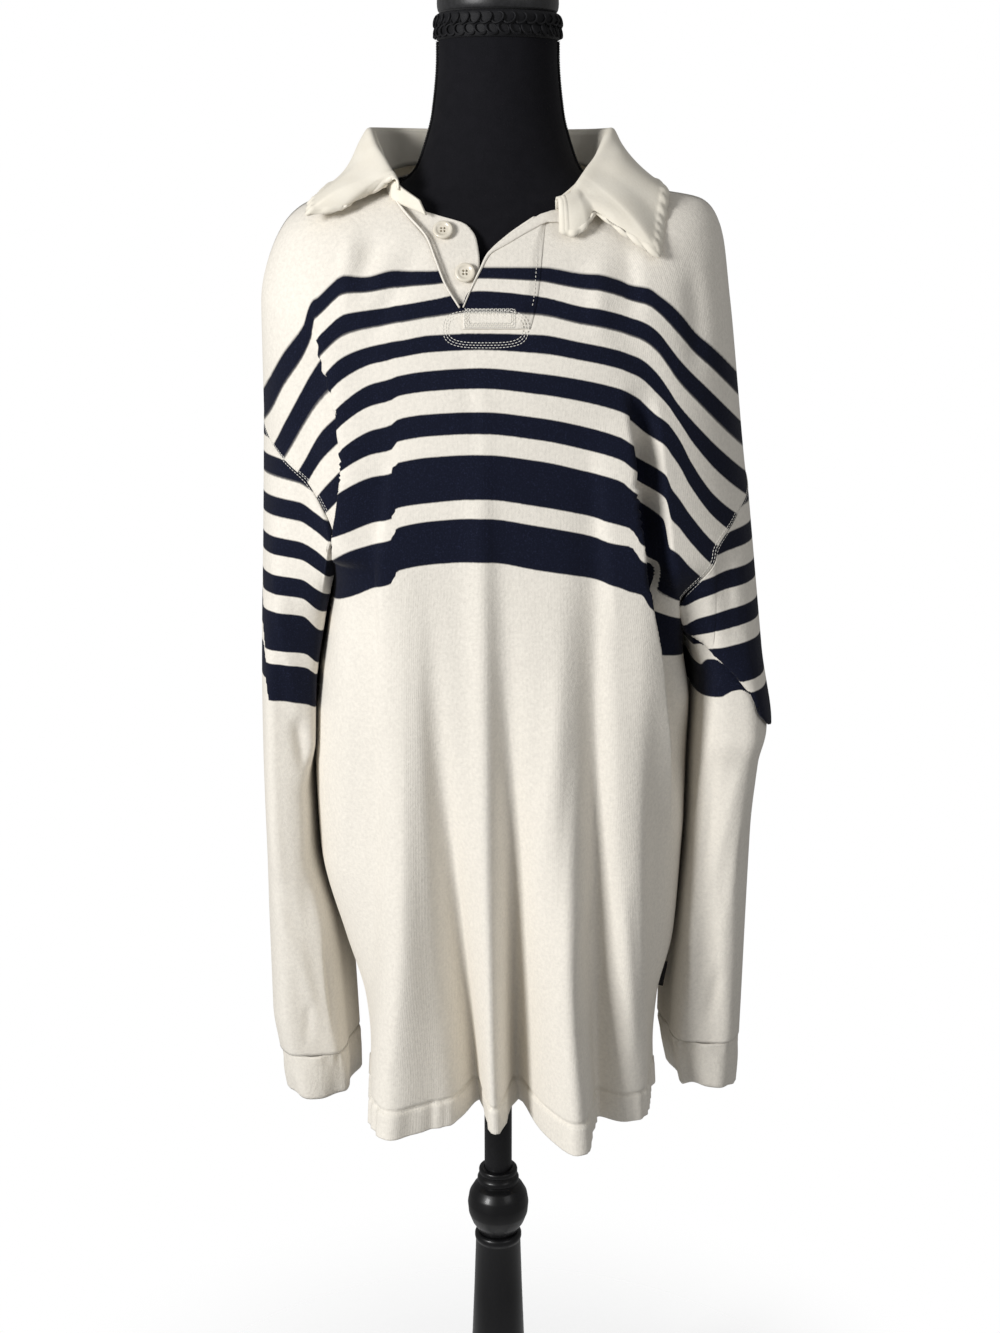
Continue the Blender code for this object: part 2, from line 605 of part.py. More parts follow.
def band_grid(table, rows, columns, lift):
    """A band's points: the front's own, moved out by lift."""
    heights = [row.z for row in table]
    grid, normals = [], {}
    for r in range(rows + 1):
        z = mix(heights[0], heights[-1], r / rows)
        start, end = read(table, "z", "start", z), read(table, "z", "end", z)
        line = []
        for c in range(columns + 1):
            point, normal = front_surface(mix(start, end, c / columns), z)
            point = point + normal * lift
            normals[key(point)] = normal
            line.append(point)
        grid.append(line)
    return grid, normals


def collar_grid(stations, sections, line_of):
    """Rows of points along the collar; line_of gives a station's points from inside to out."""
    lines = [line_of(row) for row in stations]
    count = len(lines)
    grid = []
    for i in range(sections + 1):
        place = i / sections * (count - 1)
        grid.append([
            Vector([
                monotone(list(range(count)), [line[j][axis] for line in lines], place)
                for axis in range(3)
            ])
            for j in range(len(lines[0]))
        ])
    return grid


def stand_line(row):
    """The collar stand at a station, from its foot to the roll line."""
    foot, roll = Vector(row.foot), Vector(row.roll)
    return [foot, foot.lerp(roll, 0.5), roll]


def leaf_line(row):
    """The collar's leaf at a station: over the roll line and down to its edge."""
    roll, edge = Vector(row.roll), Vector(row.edge)
    out = (edge - roll) * Vector((1, 1, 0))
    start = roll + out.normalized() * 0.0028 + Vector((0, 0, 0.0016))
    lift = Vector((0, 0, 0.010)) + out * 0.10
    crown = start.lerp(edge, 0.40) + lift
    return [(1 - t) ** 2 * start + 2 * t * (1 - t) * crown + t * t * edge for t in (0, 0.25, 0.5, 0.75, 1)]


# ---------------------------------------------------------------- the form and its stand

def form_mesh():
    """The form's neck and torso: rings from the top of the neck to its lower edge."""
    points, faces = [], []
    for row in FORM:
        for i in range(FORM_SEGMENTS):
            angle = 2 * math.pi * i / FORM_SEGMENTS
            depth = row.back if math.sin(angle) > 0 else row.front
            points.append((row.side * math.cos(angle), depth * math.sin(angle), row.z))
    for r in range(len(FORM) - 1):
        for i in range(FORM_SEGMENTS):
            a, b = r * FORM_SEGMENTS + i, r * FORM_SEGMENTS + (i + 1) % FORM_SEGMENTS
            faces.append((b, a, a + FORM_SEGMENTS, b + FORM_SEGMENTS))
    faces.append(tuple(range(FORM_SEGMENTS)))
    faces.append(tuple(reversed(range(len(points) - FORM_SEGMENTS, len(points)))))
    return mesh_of("form_torso", points, faces)


def add_leg(number, material, parts, origin):
    """One curved leg: its outline as a flat curve, given its thickness and rounded edges."""
    reaches = [mix(LEG[0].reach, LEG_REACH, i / LEG_STEPS) for i in range(LEG_STEPS + 1)]
    z = [read(LEG, "reach", "z", reach) for reach in reaches]
    half = [read(LEG, "reach", "half", reach) for reach in reaches]
    outline = [(reach, a + b) for reach, a, b in zip(reaches, z, half)]
    foot = LEG_REACH - FOOT_FLAT
    under = [0 if reach > foot else a - b for reach, a, b in zip(reaches, z, half)]
    outline += list(zip(reaches, under))[::-1]
    curve = bpy.data.curves.new(f"leg_{number}", "CURVE")
    curve.dimensions = "2D"
    curve.fill_mode = "BOTH"
    curve.extrude = LEG_THICKNESS / 2
    spline = curve.splines.new("POLY")
    spline.points.add(len(outline) - 1)
    for point, (reach, height) in zip(spline.points, outline):
        point.co = (reach, height, 0, 1)
    spline.use_cyclic_u = True
    made = add_object(f"leg_{number}", curve, material, parts, origin)
    made.rotation_euler = (math.pi / 2, 0, math.radians(90 + 360 / LEG_COUNT * (number - 1)))
    weld = made.modifiers.new("Weld", "WELD")
    weld.merge_threshold = 0.0001
    bevel = made.modifiers.new("Rounded edges", "BEVEL")
    bevel.width, bevel.segments, bevel.limit_method = 0.003, 1, "ANGLE"
    bevel.angle_limit = math.radians(60)
    return made


# ---------------------------------------------------------------- assembly

def add_band(name, table, lift, material, parts, origin):
    """A band of the neck opening, laid on the front's outer side."""
    grid, normals = band_grid(table, BAND_ROWS, BAND_COLUMNS, lift)
    cloth(name, Panel(grid, False, -1), normals, BAND_WALL, material, parts, origin, 0)


def add_button(name, x, z, material, parts, origin):
    """A dished button lying on the button band."""
    place, normal = front_surface(x, z)
    radius, half = BUTTON_RADIUS, BUTTON_THICKNESS / 2
    profile = (
        (radius * 0.60, half * 0.55), (radius * 0.72, half), (radius * 0.90, half),
        (radius, half * 0.30), (radius * 0.97, -half * 0.60), (radius * 0.80, -half),
    )
    made = turned(name, profile, material, parts, origin)
    made.location = place + normal * (BUTTON_LIFT + half)
    made.rotation_euler = normal.to_track_quat("Z", "Y").to_euler()


def build_shirt(parts, origin):
    jersey = finish("cream jersey", (0.86, 0.80, 0.70), 0.85)
    rib = finish("cream cuff jersey", (0.84, 0.79, 0.69), 0.85)
    twill = finish("cream twill", (0.78, 0.74, 0.63), 0.75)
    pearl = finish("cream button", (0.85, 0.81, 0.72), 0.3)
    tape = finish("black woven tape", (0.015, 0.015, 0.017), 0.7)

    front, back = panel_grid(-1, COLUMNS_PER_HALF), panel_grid(1, BACK_COLUMNS_PER_HALF)
    panels = {"shirt_front": Panel(front, False, -1), "shirt_back": Panel(back, False, 1)}
    cuffs = {}
    for side, name, sleeve, cuff in (
        (-1, "right", RIGHT_SLEEVE, RIGHT_CUFF), (1, "left", LEFT_SLEEVE, LEFT_CUFF)
    ):
        loop = armhole_loop(front, back, side)
        panels[f"sleeve_{name}"] = Panel(sleeve_grid(sleeve, side, loop), True, side)
        cuffs[f"cuff_{name}"] = Panel(cuff_grid(cuff, side), True, side)
    normals = shared_normals(panels.values())
    for name, panel in panels.items():
        cloth(name, panel, normals, WALL, jersey, parts, origin)
    for name, panel in cuffs.items():
        cloth(name, panel, shared_normals([panel]), FIRM_WALL, rib, parts, origin)

    stand = Panel(collar_grid(COLLAR, STAND_SECTIONS, stand_line), False, 1)
    leaf = Panel(collar_grid(COLLAR[1:-1], LEAF_SECTIONS, leaf_line), False, 1)
    for name, panel, wall in (("collar_stand", stand, FIRM_WALL), ("collar_leaf", leaf, LEAF_WALL)):
        cloth(name, panel, shared_normals([panel]), wall, twill, parts, origin)
    add_band("placket_button_band", BUTTON_BAND, -WALL - 3 * GAP, jersey, parts, origin)
    add_band("placket_top_band", TOP_BAND, BAND_WALL + GAP, jersey, parts, origin)
    for name, x, z in BUTTONS:
        add_button(name, x, z, pearl, parts, origin)
    add_side_label(tape, parts, origin)


def add_side_label(material, parts, origin):
    """A plain folded tab that stands out of the left side seam."""
    edge, z = level_value("left", LABEL_LEVEL), level_value("left_z", LABEL_LEVEL)
    lean = (level_value("left", LABEL_LEVEL - 0.2) - level_value("left", LABEL_LEVEL + 0.2)) / (
        level_value("left_z", LABEL_LEVEL - 0.2) - level_value("left_z", LABEL_LEVEL + 0.2)
    )
    mesh = bpy.data.meshes.new("label_side")
    shape = bmesh.new()
    bmesh.ops.create_cube(shape, size=1)
    bmesh.ops.scale(shape, vec=(LABEL_WIDTH, LABEL_THICKNESS, LABEL_HEIGHT), verts=shape.verts)
    shape.to_mesh(mesh)
    shape.free()
    made = add_object("label_side", mesh, material, parts, origin)
    made.location = (edge + LABEL_WIDTH / 2 + 0.0016, 0, z)
    made.rotation_euler.y = math.atan(lean)


def build_form(parts, origin):
    felt = finish("black jersey of the form", (0.012, 0.012, 0.014), 0.8)
    braid = finish("black braid", (0.010, 0.010, 0.011), 0.6)
    lacquer = finish("black lacquer", (0.008, 0.008, 0.009), 0.25)
    add_object("form_torso", form_mesh(), felt, parts, origin).data.shade_smooth()
    turned("neck_cap", NECK_CAP, lacquer, parts, origin)
    turned("neck_braid", NECK_BRAID, braid, parts, origin, FORM[0].side + 0.0007)
    height = FORM[-1].z - GAP - POLE_FOOT
    pole = ((POLE_RADIUS, POLE_FOOT + height), (POLE_RADIUS, POLE_FOOT))
    turned("pole", pole, lacquer, parts, origin)


def build_stand(parts, origin):
    lacquer = finish("black painted wood", (0.008, 0.008, 0.009), 0.3)
    turned("knob", KNOB, lacquer, parts, origin, BORE_RADIUS)
    turned("column", COLUMN, lacquer, parts, origin, BORE_RADIUS)
    for number in range(1, LEG_COUNT + 1):
        add_leg(number, lacquer, parts, origin)


def main():
    for old in list(bpy.data.objects):
        bpy.data.objects.remove(old, do_unlink=True)
    parts = bpy.data.collections.new("rugby_shirt_on_dress_form")
    bpy.context.scene.collection.children.link(parts)
    origin = bpy.data.objects.new("pole_axis", None)
    origin.location = (POLE_X, POLE_Y, 0)
    parts.objects.link(origin)
    build_shirt(parts, origin)
    build_form(parts, origin)
    build_stand(parts, origin)


main()
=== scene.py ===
"""A rugby shirt on a limbless dress form, which slides on a turned tripod stand.

Metres, +Z up. The form faces -Y and +X is the wearer's left. All tables are measured from the
pole's axis, and mm() and listed() turn their millimetres into metres. POLE_Y puts that axis in its
place under the whole object.
"""
import logging
import math
from contextlib import contextmanager
from dataclasses import dataclass, field, fields
from enum import Enum
from typing import Callable, Iterable, Iterator, NamedTuple, Sequence

import bpy
import numpy as np
from mathutils import Matrix, Vector


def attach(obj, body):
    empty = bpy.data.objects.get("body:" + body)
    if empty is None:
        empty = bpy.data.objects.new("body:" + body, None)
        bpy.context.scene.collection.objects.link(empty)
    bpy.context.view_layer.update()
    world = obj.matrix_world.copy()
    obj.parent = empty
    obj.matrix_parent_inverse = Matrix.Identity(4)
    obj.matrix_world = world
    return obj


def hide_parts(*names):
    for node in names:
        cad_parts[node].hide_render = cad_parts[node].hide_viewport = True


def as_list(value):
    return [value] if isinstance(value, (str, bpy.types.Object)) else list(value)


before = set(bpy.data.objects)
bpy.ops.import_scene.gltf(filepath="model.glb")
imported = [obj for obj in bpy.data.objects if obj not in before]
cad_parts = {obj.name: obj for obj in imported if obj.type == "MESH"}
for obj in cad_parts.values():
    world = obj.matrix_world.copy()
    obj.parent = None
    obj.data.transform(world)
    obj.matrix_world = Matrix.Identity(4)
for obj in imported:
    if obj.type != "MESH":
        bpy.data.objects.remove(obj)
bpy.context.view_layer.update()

POLE_Y = -0.061
ARM_MIDDLE = 0.19  # how far out the middle of either arm hangs
SEAM_GAP = 0.00025  # how far each edge of a sheet is drawn in from its seam
HALVINGS = 26  # halvings of a range when a place on the cloth is looked for
LOG = logging.getLogger("rugby_shirt")
Array = np.ndarray
Finish, Piece, Mesh = bpy.types.Material, bpy.types.Object, bpy.types.Mesh
Triple = tuple[float, float, float]


class Body(Enum):
    """The two bodies that the pieces ride on."""

    STAND = "stand"
    FORM = "form"


class Side(Enum):
    """The wearer's right and left, as the sign of x."""

    RIGHT = -1
    LEFT = 1


class Facing(Enum):
    """The front and the back of the shirt, as the sign of y."""

    FRONT = -1
    BACK = 1


# ---- small maths

def mm(*sizes: float) -> tuple[float, ...]:
    """Sizes in millimetres as metres."""
    return tuple(round(size / 1000, 7) for size in sizes)


def listed(kind: type, *table: tuple[float, ...]) -> tuple:
    """A table in millimetres, whose columns are the kind's names, as records in metres."""
    return tuple(kind(*mm(*row)) for row in table)


def mix(a: Array | float, b: Array | float, t: Array | float) -> Array | float:
    """The value t of the way from a to b."""
    return a + (b - a) * t


def ease(low: float, high: float, value: Array | float) -> Array | float:
    """A soft step from 0 at low to 1 at high."""
    t = np.clip((value - low) / (high - low), 0, 1)
    return t * t * (3 - 2 * t)


def unit(vectors: Array) -> Array:
    """The vectors, each of length 1."""
    return vectors / np.maximum(np.linalg.norm(vectors, axis=-1, keepdims=True), 1e-12)


def bell(away: Array, width: float | Array) -> Array:
    """A bell curve: 1 at 0, and about a third where away is the width."""
    return np.exp(-((away / width) ** 2))


def power(base: Array, exponent: float) -> Array:
    """base to a power, with its sign kept."""
    return np.sign(base) * np.abs(base) ** exponent


def monotone(places: Sequence[float], values: Sequence[float], at: Array | float) -> Array:
    """A smooth curve through some values that never overshoots them.

    Args:
        places: where the values are, rising.
        values: the value at each place.
        at: where the curve is read.

    Returns:
        The curve's values, held level past both ends.
    """
    xs, ys = np.asarray(places, float), np.asarray(values, float)
    step = np.diff(xs)
    rise = np.diff(ys) / step
    slope = np.concatenate((rise[:1], np.zeros(len(rise) - 1), rise[-1:]))
    product = rise[:-1] * rise[1:]
    turning = product > 0
    total = np.where(turning, rise[:-1] + rise[1:], 1)
    slope[1:-1] = np.where(turning, 2 * product / total, 0)
    at = np.clip(np.asarray(at, float), xs[0], xs[-1])
    i = np.clip(np.searchsorted(xs, at, side="right") - 1, 0, len(step) - 1)
    t, h = (at - xs[i]) / step[i], step[i]
    return (
        (1 + 2 * t) * (1 - t) ** 2 * ys[i] + t * (1 - t) ** 2 * h * slope[i]
        + t * t * (3 - 2 * t) * ys[i + 1]
        + t * t * (t - 1) * h * slope[i + 1]
    )


def read(table: Sequence[tuple], key: str, name: str, at: Array | float) -> Array:
    """A column of a table at any place between its rows."""
    rows = sorted(table, key=lambda row: getattr(row, key))
    return monotone([getattr(r, key) for r in rows], [getattr(r, name) for r in rows], at)


def read_straight(table: Sequence[tuple], key: str, name: str, at: Array | float) -> Array:
    """A column of a table at any place between its rows, by straight lines."""
    rows = sorted(table, key=lambda row: getattr(row, key))
    return np.interp(at, [getattr(r, key) for r in rows], [getattr(r, name) for r in rows])


class FrontPoint(NamedTuple):
    """A place seen from the front."""

    x: float
    z: float


class Ripple(NamedTuple):
    """An uneven wave: its height, its length over 2 pi, and how far and how long it sways."""

    height: float
    length: float
    sway: float
    sway_length: float

    def at(self, along: Array) -> Array:
        """How far the wave stands out at places along its line."""
        return self.height * np.sin(along / self.length + self.sway * np.sin(along / self.sway_length))


def arc_length(points: Array) -> Array:
    """How far along a line, or along each column of a grid, every point lies."""
    step = np.linalg.norm(np.diff(points, axis=0), axis=-1)
    return np.concatenate((np.zeros((1, *step.shape[1:])), np.cumsum(step, axis=0)))


def at_length(at: Array | float, length: Array, values: Array) -> Array:
    """A line's values, one row for each of its points, read at any length along it."""
    return np.stack([np.interp(at, length, column) for column in values.T], axis=-1)


def last_where(test: Callable[[Array], Array], limit: float, like: Array) -> Array:
    """Where tests that hold at 0 stop to hold, found by halving.

    Args:
        test: says for an array of values where the test holds.
        limit: the greatest value.
        like: an array of the wanted shape.

    Returns:
        The last value at which each test holds.
    """
    low, high = np.zeros_like(like), np.full_like(like, limit)
    for _ in range(HALVINGS):
        middle = (low + high) / 2
        holds = test(middle)
        low, high = np.where(holds, middle, low), np.where(holds, high, middle)
    return low


# ---- cloth as grids of points

@dataclass
class Panel:
    """A sheet of cloth as rows and columns of points; nan where nothing was cut.

    Attributes:
        points: rows x columns x 3.
        closed: whether each row is a ring.
        facing: 1 where rows crossed with columns face out, -1 where they face in.
        chart: rows x columns x 3: across the cloth, down the cloth, place in the stripes.
    """

    points: Array
    closed: bool = False
    facing: int = 1
    chart: Array | None = None

    def corners(self) -> Array:
        """The four points, by number, of each cell that is whole.

        Returns:
            One row of four numbers for each cell.
        """
        rows, columns = self.points.shape[:2]
        number = np.arange(rows * columns).reshape(rows, columns)
        if self.closed:
            number = np.concatenate((number, number[:, :1]), axis=1)
        quads = np.stack(
            (number[:-1, :-1], number[:-1, 1:], number[1:, 1:], number[1:, :-1]), axis=-1
        ).reshape(-1, 4)
        whole = ~np.isnan(self.points.reshape(-1, 3)[:, 0])
        return quads[whole[quads].all(axis=1)]

    def outward(self) -> Array:
        """Each cell's area as a vector that faces out, added up at its four points.

        Returns:
            One vector for each point.
        """
        flat = self.points.reshape(-1, 3)
        quads = self.corners()
        a, b, c, d = (flat[quads[:, k]] for k in range(4))
        across = np.cross(c - a, d - b) * self.facing
        total = np.zeros_like(flat)
        for k in range(4):
            np.add.at(total, quads[:, k], across)
        return total


Laid = tuple[Panel, Array]


def shared_normals(panels: Sequence[Panel]) -> list[Array]:
    """Normals of some panels, the same wherever two of them meet.

    Args:
        panels: the panels that are sewn together.

    Returns:
        One array of normals for each panel, in its own shape.
    """
    points = np.concatenate([panel.points.reshape(-1, 3) for panel in panels])
    totals = np.concatenate([panel.outward() for panel in panels])
    there = ~np.isnan(points[:, 0])
    _, group = np.unique(np.round(points[there], 6), axis=0, return_inverse=True)
    group = group.reshape(-1)
    summed = np.zeros((group.max() + 1, 3))
    np.add.at(summed, group, totals[there])
    normals = np.full_like(points, np.nan)
    normals[there] = unit(summed)[group]
    parted = np.split(normals, np.cumsum([panel.points[..., 0].size for panel in panels])[:-1])
    return [n.reshape(panel.points.shape) for n, panel in zip(parted, panels)]


def inset(panel: Panel, amount: float) -> Array:
    """The panel's points, with those on an edge drawn in along the cloth by amount.

    Args:
        panel: the cloth.
        amount: how far.

    Returns:
        The moved points.
    """
    points = panel.points
    moved = points.copy()
    for axis in (0,) if panel.closed else (0, 1):
        for way in (1, -1):
            before = np.roll(points, way, axis=axis)
            after = np.roll(points, -way, axis=axis)
            edge = [slice(None)] * 3
            edge[axis] = 0 if way == 1 else -1
            before[tuple(edge)] = np.nan
            rim = np.isnan(before[..., 0]) & ~np.isnan(after[..., 0]) & ~np.isnan(points[..., 0])
            moved[rim] += unit(after[rim] - points[rim]) * amount
    return moved


def new_mesh(name: str, points: Array, faces: Array | list, smooth: bool = True) -> Mesh:
    """A mesh of some points and faces.

    Args:
        name: its name.
        points: its points.
        faces: its faces' points, by number.
        smooth: whether its faces are shaded smooth.

    Returns:
        The mesh.
    """
    mesh = bpy.data.meshes.new(name)
    mesh.from_pydata(np.asarray(points).tolist(), [], faces.tolist() if isinstance(faces, Array) else faces)
    mesh.validate()
    if smooth:
        mesh.shade_smooth()
    return mesh


def add_object(name: str, mesh: Mesh, material: Finish) -> Piece:
    """Puts a mesh in the scene, measured from the pole's axis.

    Args:
        name: the piece's name.
        mesh: its mesh.
        material: its finish.

    Returns:
        The new object.
    """
    mesh.transform(Matrix.Translation((0, POLE_Y, 0)))
    made = bpy.data.objects.new(name, mesh)
    made.data.materials.append(material)
    bpy.context.scene.collection.objects.link(made)
    return made


def wall(
    name: str, panel: Panel, normals: Array, thickness: float, material: Finish,
    drawn_in: float = SEAM_GAP,
) -> Piece:
    """A panel as a closed wall whose outer side is the panel's points.

    Args:
        name: the piece's name.
        panel: the cloth's outer side.
        normals: the outward normal at each point.
        thickness: the wall's, one number or one for each point.
        material: its finish.
        drawn_in: how far each edge is drawn in from its seam.

    Returns:
        The new object.
    """
    there = ~np.isnan(panel.points[..., 0])
    number = np.full(there.size, -1)
    number[there.reshape(-1)] = np.arange(there.sum())
    outer = inset(panel, drawn_in)[there]
    thick = np.broadcast_to(thickness, there.shape)[there][:, None]
    inner = outer - normals[there] * thick
    count = len(outer)
    quads = number[panel.corners()]
    starts, ends = quads.reshape(-1), np.roll(quads, -1, axis=1).reshape(-1)
    alone = ~np.isin(starts * count + ends, ends * count + starts)
    a, b = starts[alone], ends[alone]
    rim = np.stack((b, a, a + count, b + count), axis=1)
    faces = np.concatenate((quads, quads[:, ::-1] + count, rim))
    if panel.facing < 0:
        faces = faces[:, ::-1]
    mesh = new_mesh(name, np.concatenate((outer, inner)), faces)
    if panel.chart is not None:
        chart = panel.chart[there]
        layer = mesh.attributes.new("cloth", "FLOAT_VECTOR", "POINT")
        layer.data.foreach_set("vector", np.concatenate((chart, chart)).astype(np.float32).ravel())
    return add_object(name, mesh, material)


class Cut(NamedTuple):
    """The flat size a sheet is cut to before it is sewn and hung."""

    width: float
    length: float
    area: float | None = None
    rests_on: tuple[str, ...] = ("form_torso_cover",)


def carry(
    obj: Piece, slot_name: str, body: Body, node: str | None = None,
    cut: Cut | None = None,
) -> None:
    """Hides the CAD node that a finished piece replaces, if any, ties the piece to its body and logs it.

    Args:
        obj: the piece.
        slot_name: not used.
        body: the body it rides on.
        node: the CAD node it replaces.
        cut: its flat size, for a sheet of cloth.
    """
    if node:
        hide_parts(node)
    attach(obj, body.value)
    if cut:
        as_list(cut.rests_on)
    LOG.info("%s: %d faces on %s", obj.name, len(obj.data.polygons), body.value)


# ---- folds

class Fold(NamedTuple):
    """A ridge or valley from (x_high, z_high) down to (x_low, z_low).

    middle and low are how far it stands out half way down and at its foot; wide_minus and
    wide_plus are its half widths to each side.
    """

    x_high: float
    z_high: float
    x_low: float
    z_low: float
    middle: float
    low: float
    wide_minus: float
    wide_plus: float


def fold_height(folds: Iterable[Fold], x: Array, z: Array) -> Array:
    """How far some folds stand out of the cloth at places seen from the front or the back.

    Args:
        folds: the folds.
        x: how far to the wearer's left.
        z: heights.

    Returns:
        One height for each place.
    """
    total = np.zeros(np.broadcast(x, z).shape)
    for fold in folds:
        t = (fold.z_high - z) / (fold.z_high - fold.z_low)
        inside = (t >= 0) & (t <= 1.05)
        t = np.clip(t, 0, 1)
        height = fold.low * t * t + 4 * t * (1 - t) * (fold.middle - fold.low / 4)
        away = x - mix(fold.x_high, fold.x_low, t)
        width = np.where(away < 0, fold.wide_minus, fold.wide_plus)
        total += np.where(inside, height * bell(away, width), 0)
    return total


class Crease(NamedTuple):
    """A small crease: a line across the cloth that stands out by depth and fades at both ends."""

    x_start: float
    z_start: float
    x_end: float
    z_end: float
    depth: float
    wide_minus: float
    wide_plus: float


def crease_height(creases: Iterable[Crease], x: Array, z: Array) -> Array:
    """How far some creases stand out at places seen from the front or the back.

    Args:
        creases: the creases.
        x: how far to the wearer's left.
        z: heights.

    Returns:
        One height for each place.
    """
    total = np.zeros(np.broadcast(x, z).shape)
    for crease in creases:
        run = np.array((crease.x_end - crease.x_start, crease.z_end - crease.z_start))
        length = np.hypot(*run)
        run = run / length
        dx, dz = x - crease.x_start, z - crease.z_start
        along = (dx * run[0] + dz * run[1]) / length
        away = dx * run[1] - dz * run[0]
        away = away + 0.08 * length * np.sin(3.1 * along + 40 * crease.x_start) * crease.wide_plus / 0.02
        width = np.where(away < 0, crease.wide_minus, crease.wide_plus)
        ends = ease(-0.02, 0.35, along) * (1 - ease(0.55, 1.02, along))
        total += crease.depth * ends * bell(away, width)
    return total


# ---- the stripes' chart

class Line(NamedTuple):
    """One line of the knitted stripes: its place in the cloth and its height at each station."""

    cloth: float
    heights: tuple[float, ...]


@dataclass(frozen=True)
class Chart:
    """Where the cloth's stripes lie, as heights of some of their lines at stations across."""

    stations: tuple[float, ...]
    lines: tuple[Line, ...]

    @classmethod
    def table(cls, stations: tuple[float, ...], *lines: tuple[float, ...]) -> "Chart":
        """A chart of stations and lines in millimetres, each line's place in the cloth first."""
        return cls(mm(*stations), tuple(Line(mm(line[0])[0], mm(*line[1:])) for line in lines))

    def place(self, x: Array, z: Array) -> Array:
        """The cloth's own measure down the stripes, in metres, at places seen from the front.

        Args:
            x: how far to the wearer's left.
            z: heights.

        Returns:
            One place in the stripes for each.
        """
        heights = [monotone(self.stations, line.heights, x) for line in self.lines]
        clothes = [line.cloth for line in self.lines]
        place = clothes[0] + heights[0] - z
        for k in range(len(self.lines) - 1):
            share = (heights[k] - z) / (heights[k] - heights[k + 1])
            place = np.where(share > 0, mix(clothes[k], clothes[k + 1], share), place)
        return np.where(z < heights[-1], clothes[-1] + heights[-1] - z, place)


# navy bands of the cloth, in metres from the first line downwards
NAVY_BANDS = (
    (0.0000, 0.0130), (0.0276, 0.0411), (0.0553, 0.0697), (0.0848, 0.1025),
    (0.1227, 0.1414), (0.1585, 0.1950), (0.2117, 0.2480),
)
CHEST_CHART = Chart.table(
    (-150, -126.5, -105.5, -87.4, -85.6, -80.6, -55.8, -14.8, 34.4, 67.4, 100.4, 109, 118, 125, 133, 142,
     150, 170, 200, 235),
    (0, 1290, 1308, 1308.5, 1313, 1313.2, 1313.5, 1312, 1315, 1315, 1311, 1305.5, 1302.1, 1299.8, 1298,
     1292.5, 1286, 1279, 1259, 1231, 1196),
    (27.6, 1255, 1276.5, 1281, 1284.3, 1284.7, 1285, 1289, 1296.5, 1292, 1284, 1278, 1275.2, 1271.9,
     1268.3, 1262, 1251, 1241, 1221, 1192, 1158),
    (55.3, 1215, 1243, 1252, 1256, 1256.5, 1257, 1261.5, 1263, 1262, 1256, 1249, 1246, 1242.5, 1237.5,
     1229.5, 1217, 1204.5, 1182, 1152, 1122),
    (84.8, 1172, 1205, 1221, 1226.5, 1227.5, 1229, 1233, 1235.5, 1231, 1226, 1218, 1214.3, 1209.5, 1203.4,
     1195, 1188, 1177, 1141, 1111, 1084),
    (122.7, 1135, 1168, 1183, 1189, 1191, 1194, 1198, 1200, 1195, 1188.5, 1178, 1172, 1164.9, 1160.2,
     1153.5, 1143, 1129, 1100, 1070, 1046),
    (158.5, 1112, 1134, 1145.5, 1150, 1157, 1159, 1163.5, 1166, 1160.5, 1153, 1143, 1135, 1128.8, 1124.3,
     1118.5, 1108, 1085, 1060, 1032, 1010),
    (195, 1086, 1097, 1107, 1112, 1119, 1121.5, 1125.5, 1129, 1122.6, 1116, 1106.5, 1103, 1089.5, 1086.2,
     1080, 1070, 1050, 1027, 1000, 978),
    (211.7, 1070, 1081, 1089, 1094.5, 1102, 1105, 1110, 1113, 1106, 1099.5, 1090, 1088.4, 1075.5, 1072.2,
     1066, 1056, 1035, 1008, 982, 962),
    (248, 1027.5, 1039.5, 1051, 1058, 1066, 1069, 1073.5, 1076, 1068.5, 1063, 1054, 1050, 1047.2, 1035.5,
     1028, 1016, 996, 975, 948, 928),
)
# the cloth that falls from the left arm, behind the deep fold beside the chest
LEFT_DROP_CHART = Chart.table(
    (138, 146, 153, 162, 185, 235),
    (0, 1288.5, 1282.5, 1277, 1267, 1245, 1196),
    (27.6, 1256, 1245.5, 1238, 1229, 1206, 1158),
    (55.3, 1223, 1210.5, 1200, 1191, 1167, 1122),
    (84.8, 1191, 1185, 1174.5, 1156, 1124, 1084),
    (122.7, 1145, 1133, 1124, 1111, 1084, 1046),
    (158.5, 1093, 1084, 1078.5, 1068, 1046, 1010),
    (195, 1047, 1040, 1035, 1029, 1012, 978),
    (211.7, 1031, 1024, 1019, 1013, 996, 962),
    (248, 995, 988.5, 983, 978, 960, 928),
)
# the cloth that falls from the right arm, behind the fold beside the chest
ARM_DROP_CHART = Chart.table(
    (-206, -195.3, -181.5, -166, -148, -135),
    (0, 1207, 1222, 1243, 1263, 1291, 1299),
    (13, 1180, 1192.5, 1216, 1238, 1275, 1285),
    (27.6, 1152, 1161, 1184, 1211, 1243, 1256),
    (41.1, 1133, 1140, 1156, 1181, 1209, 1223),
    (55.3, 1113, 1118, 1129, 1151, 1182, 1196),
    (84.8, 1072, 1076, 1085, 1106, 1132.6, 1148),
    (122.7, 1036, 1039, 1044, 1061, 1086, 1100),
    (248, 920, 923, 930, 945, 970, 984),
)
RIGHT_SLEEVE_CHART = Chart.table(
    (145, 156, 170, 193, 211.5),
    (27.6, 1137, 1143, 1150, 1154, 1155),
    (55.3, 1105, 1111, 1118.6, 1120.5, 1121),
    (84.8, 1070, 1078, 1084, 1086, 1086.5),
    (122.7, 1034, 1042, 1051, 1053, 1053.5),
    (158.5, 997, 1003, 1018, 1021, 1021.5),
    (195, 961, 969, 983, 986, 986.5),
    (211.7, 948, 957, 970.5, 974, 974.5),
    (248, 913, 925, 936, 940, 940.5),
)
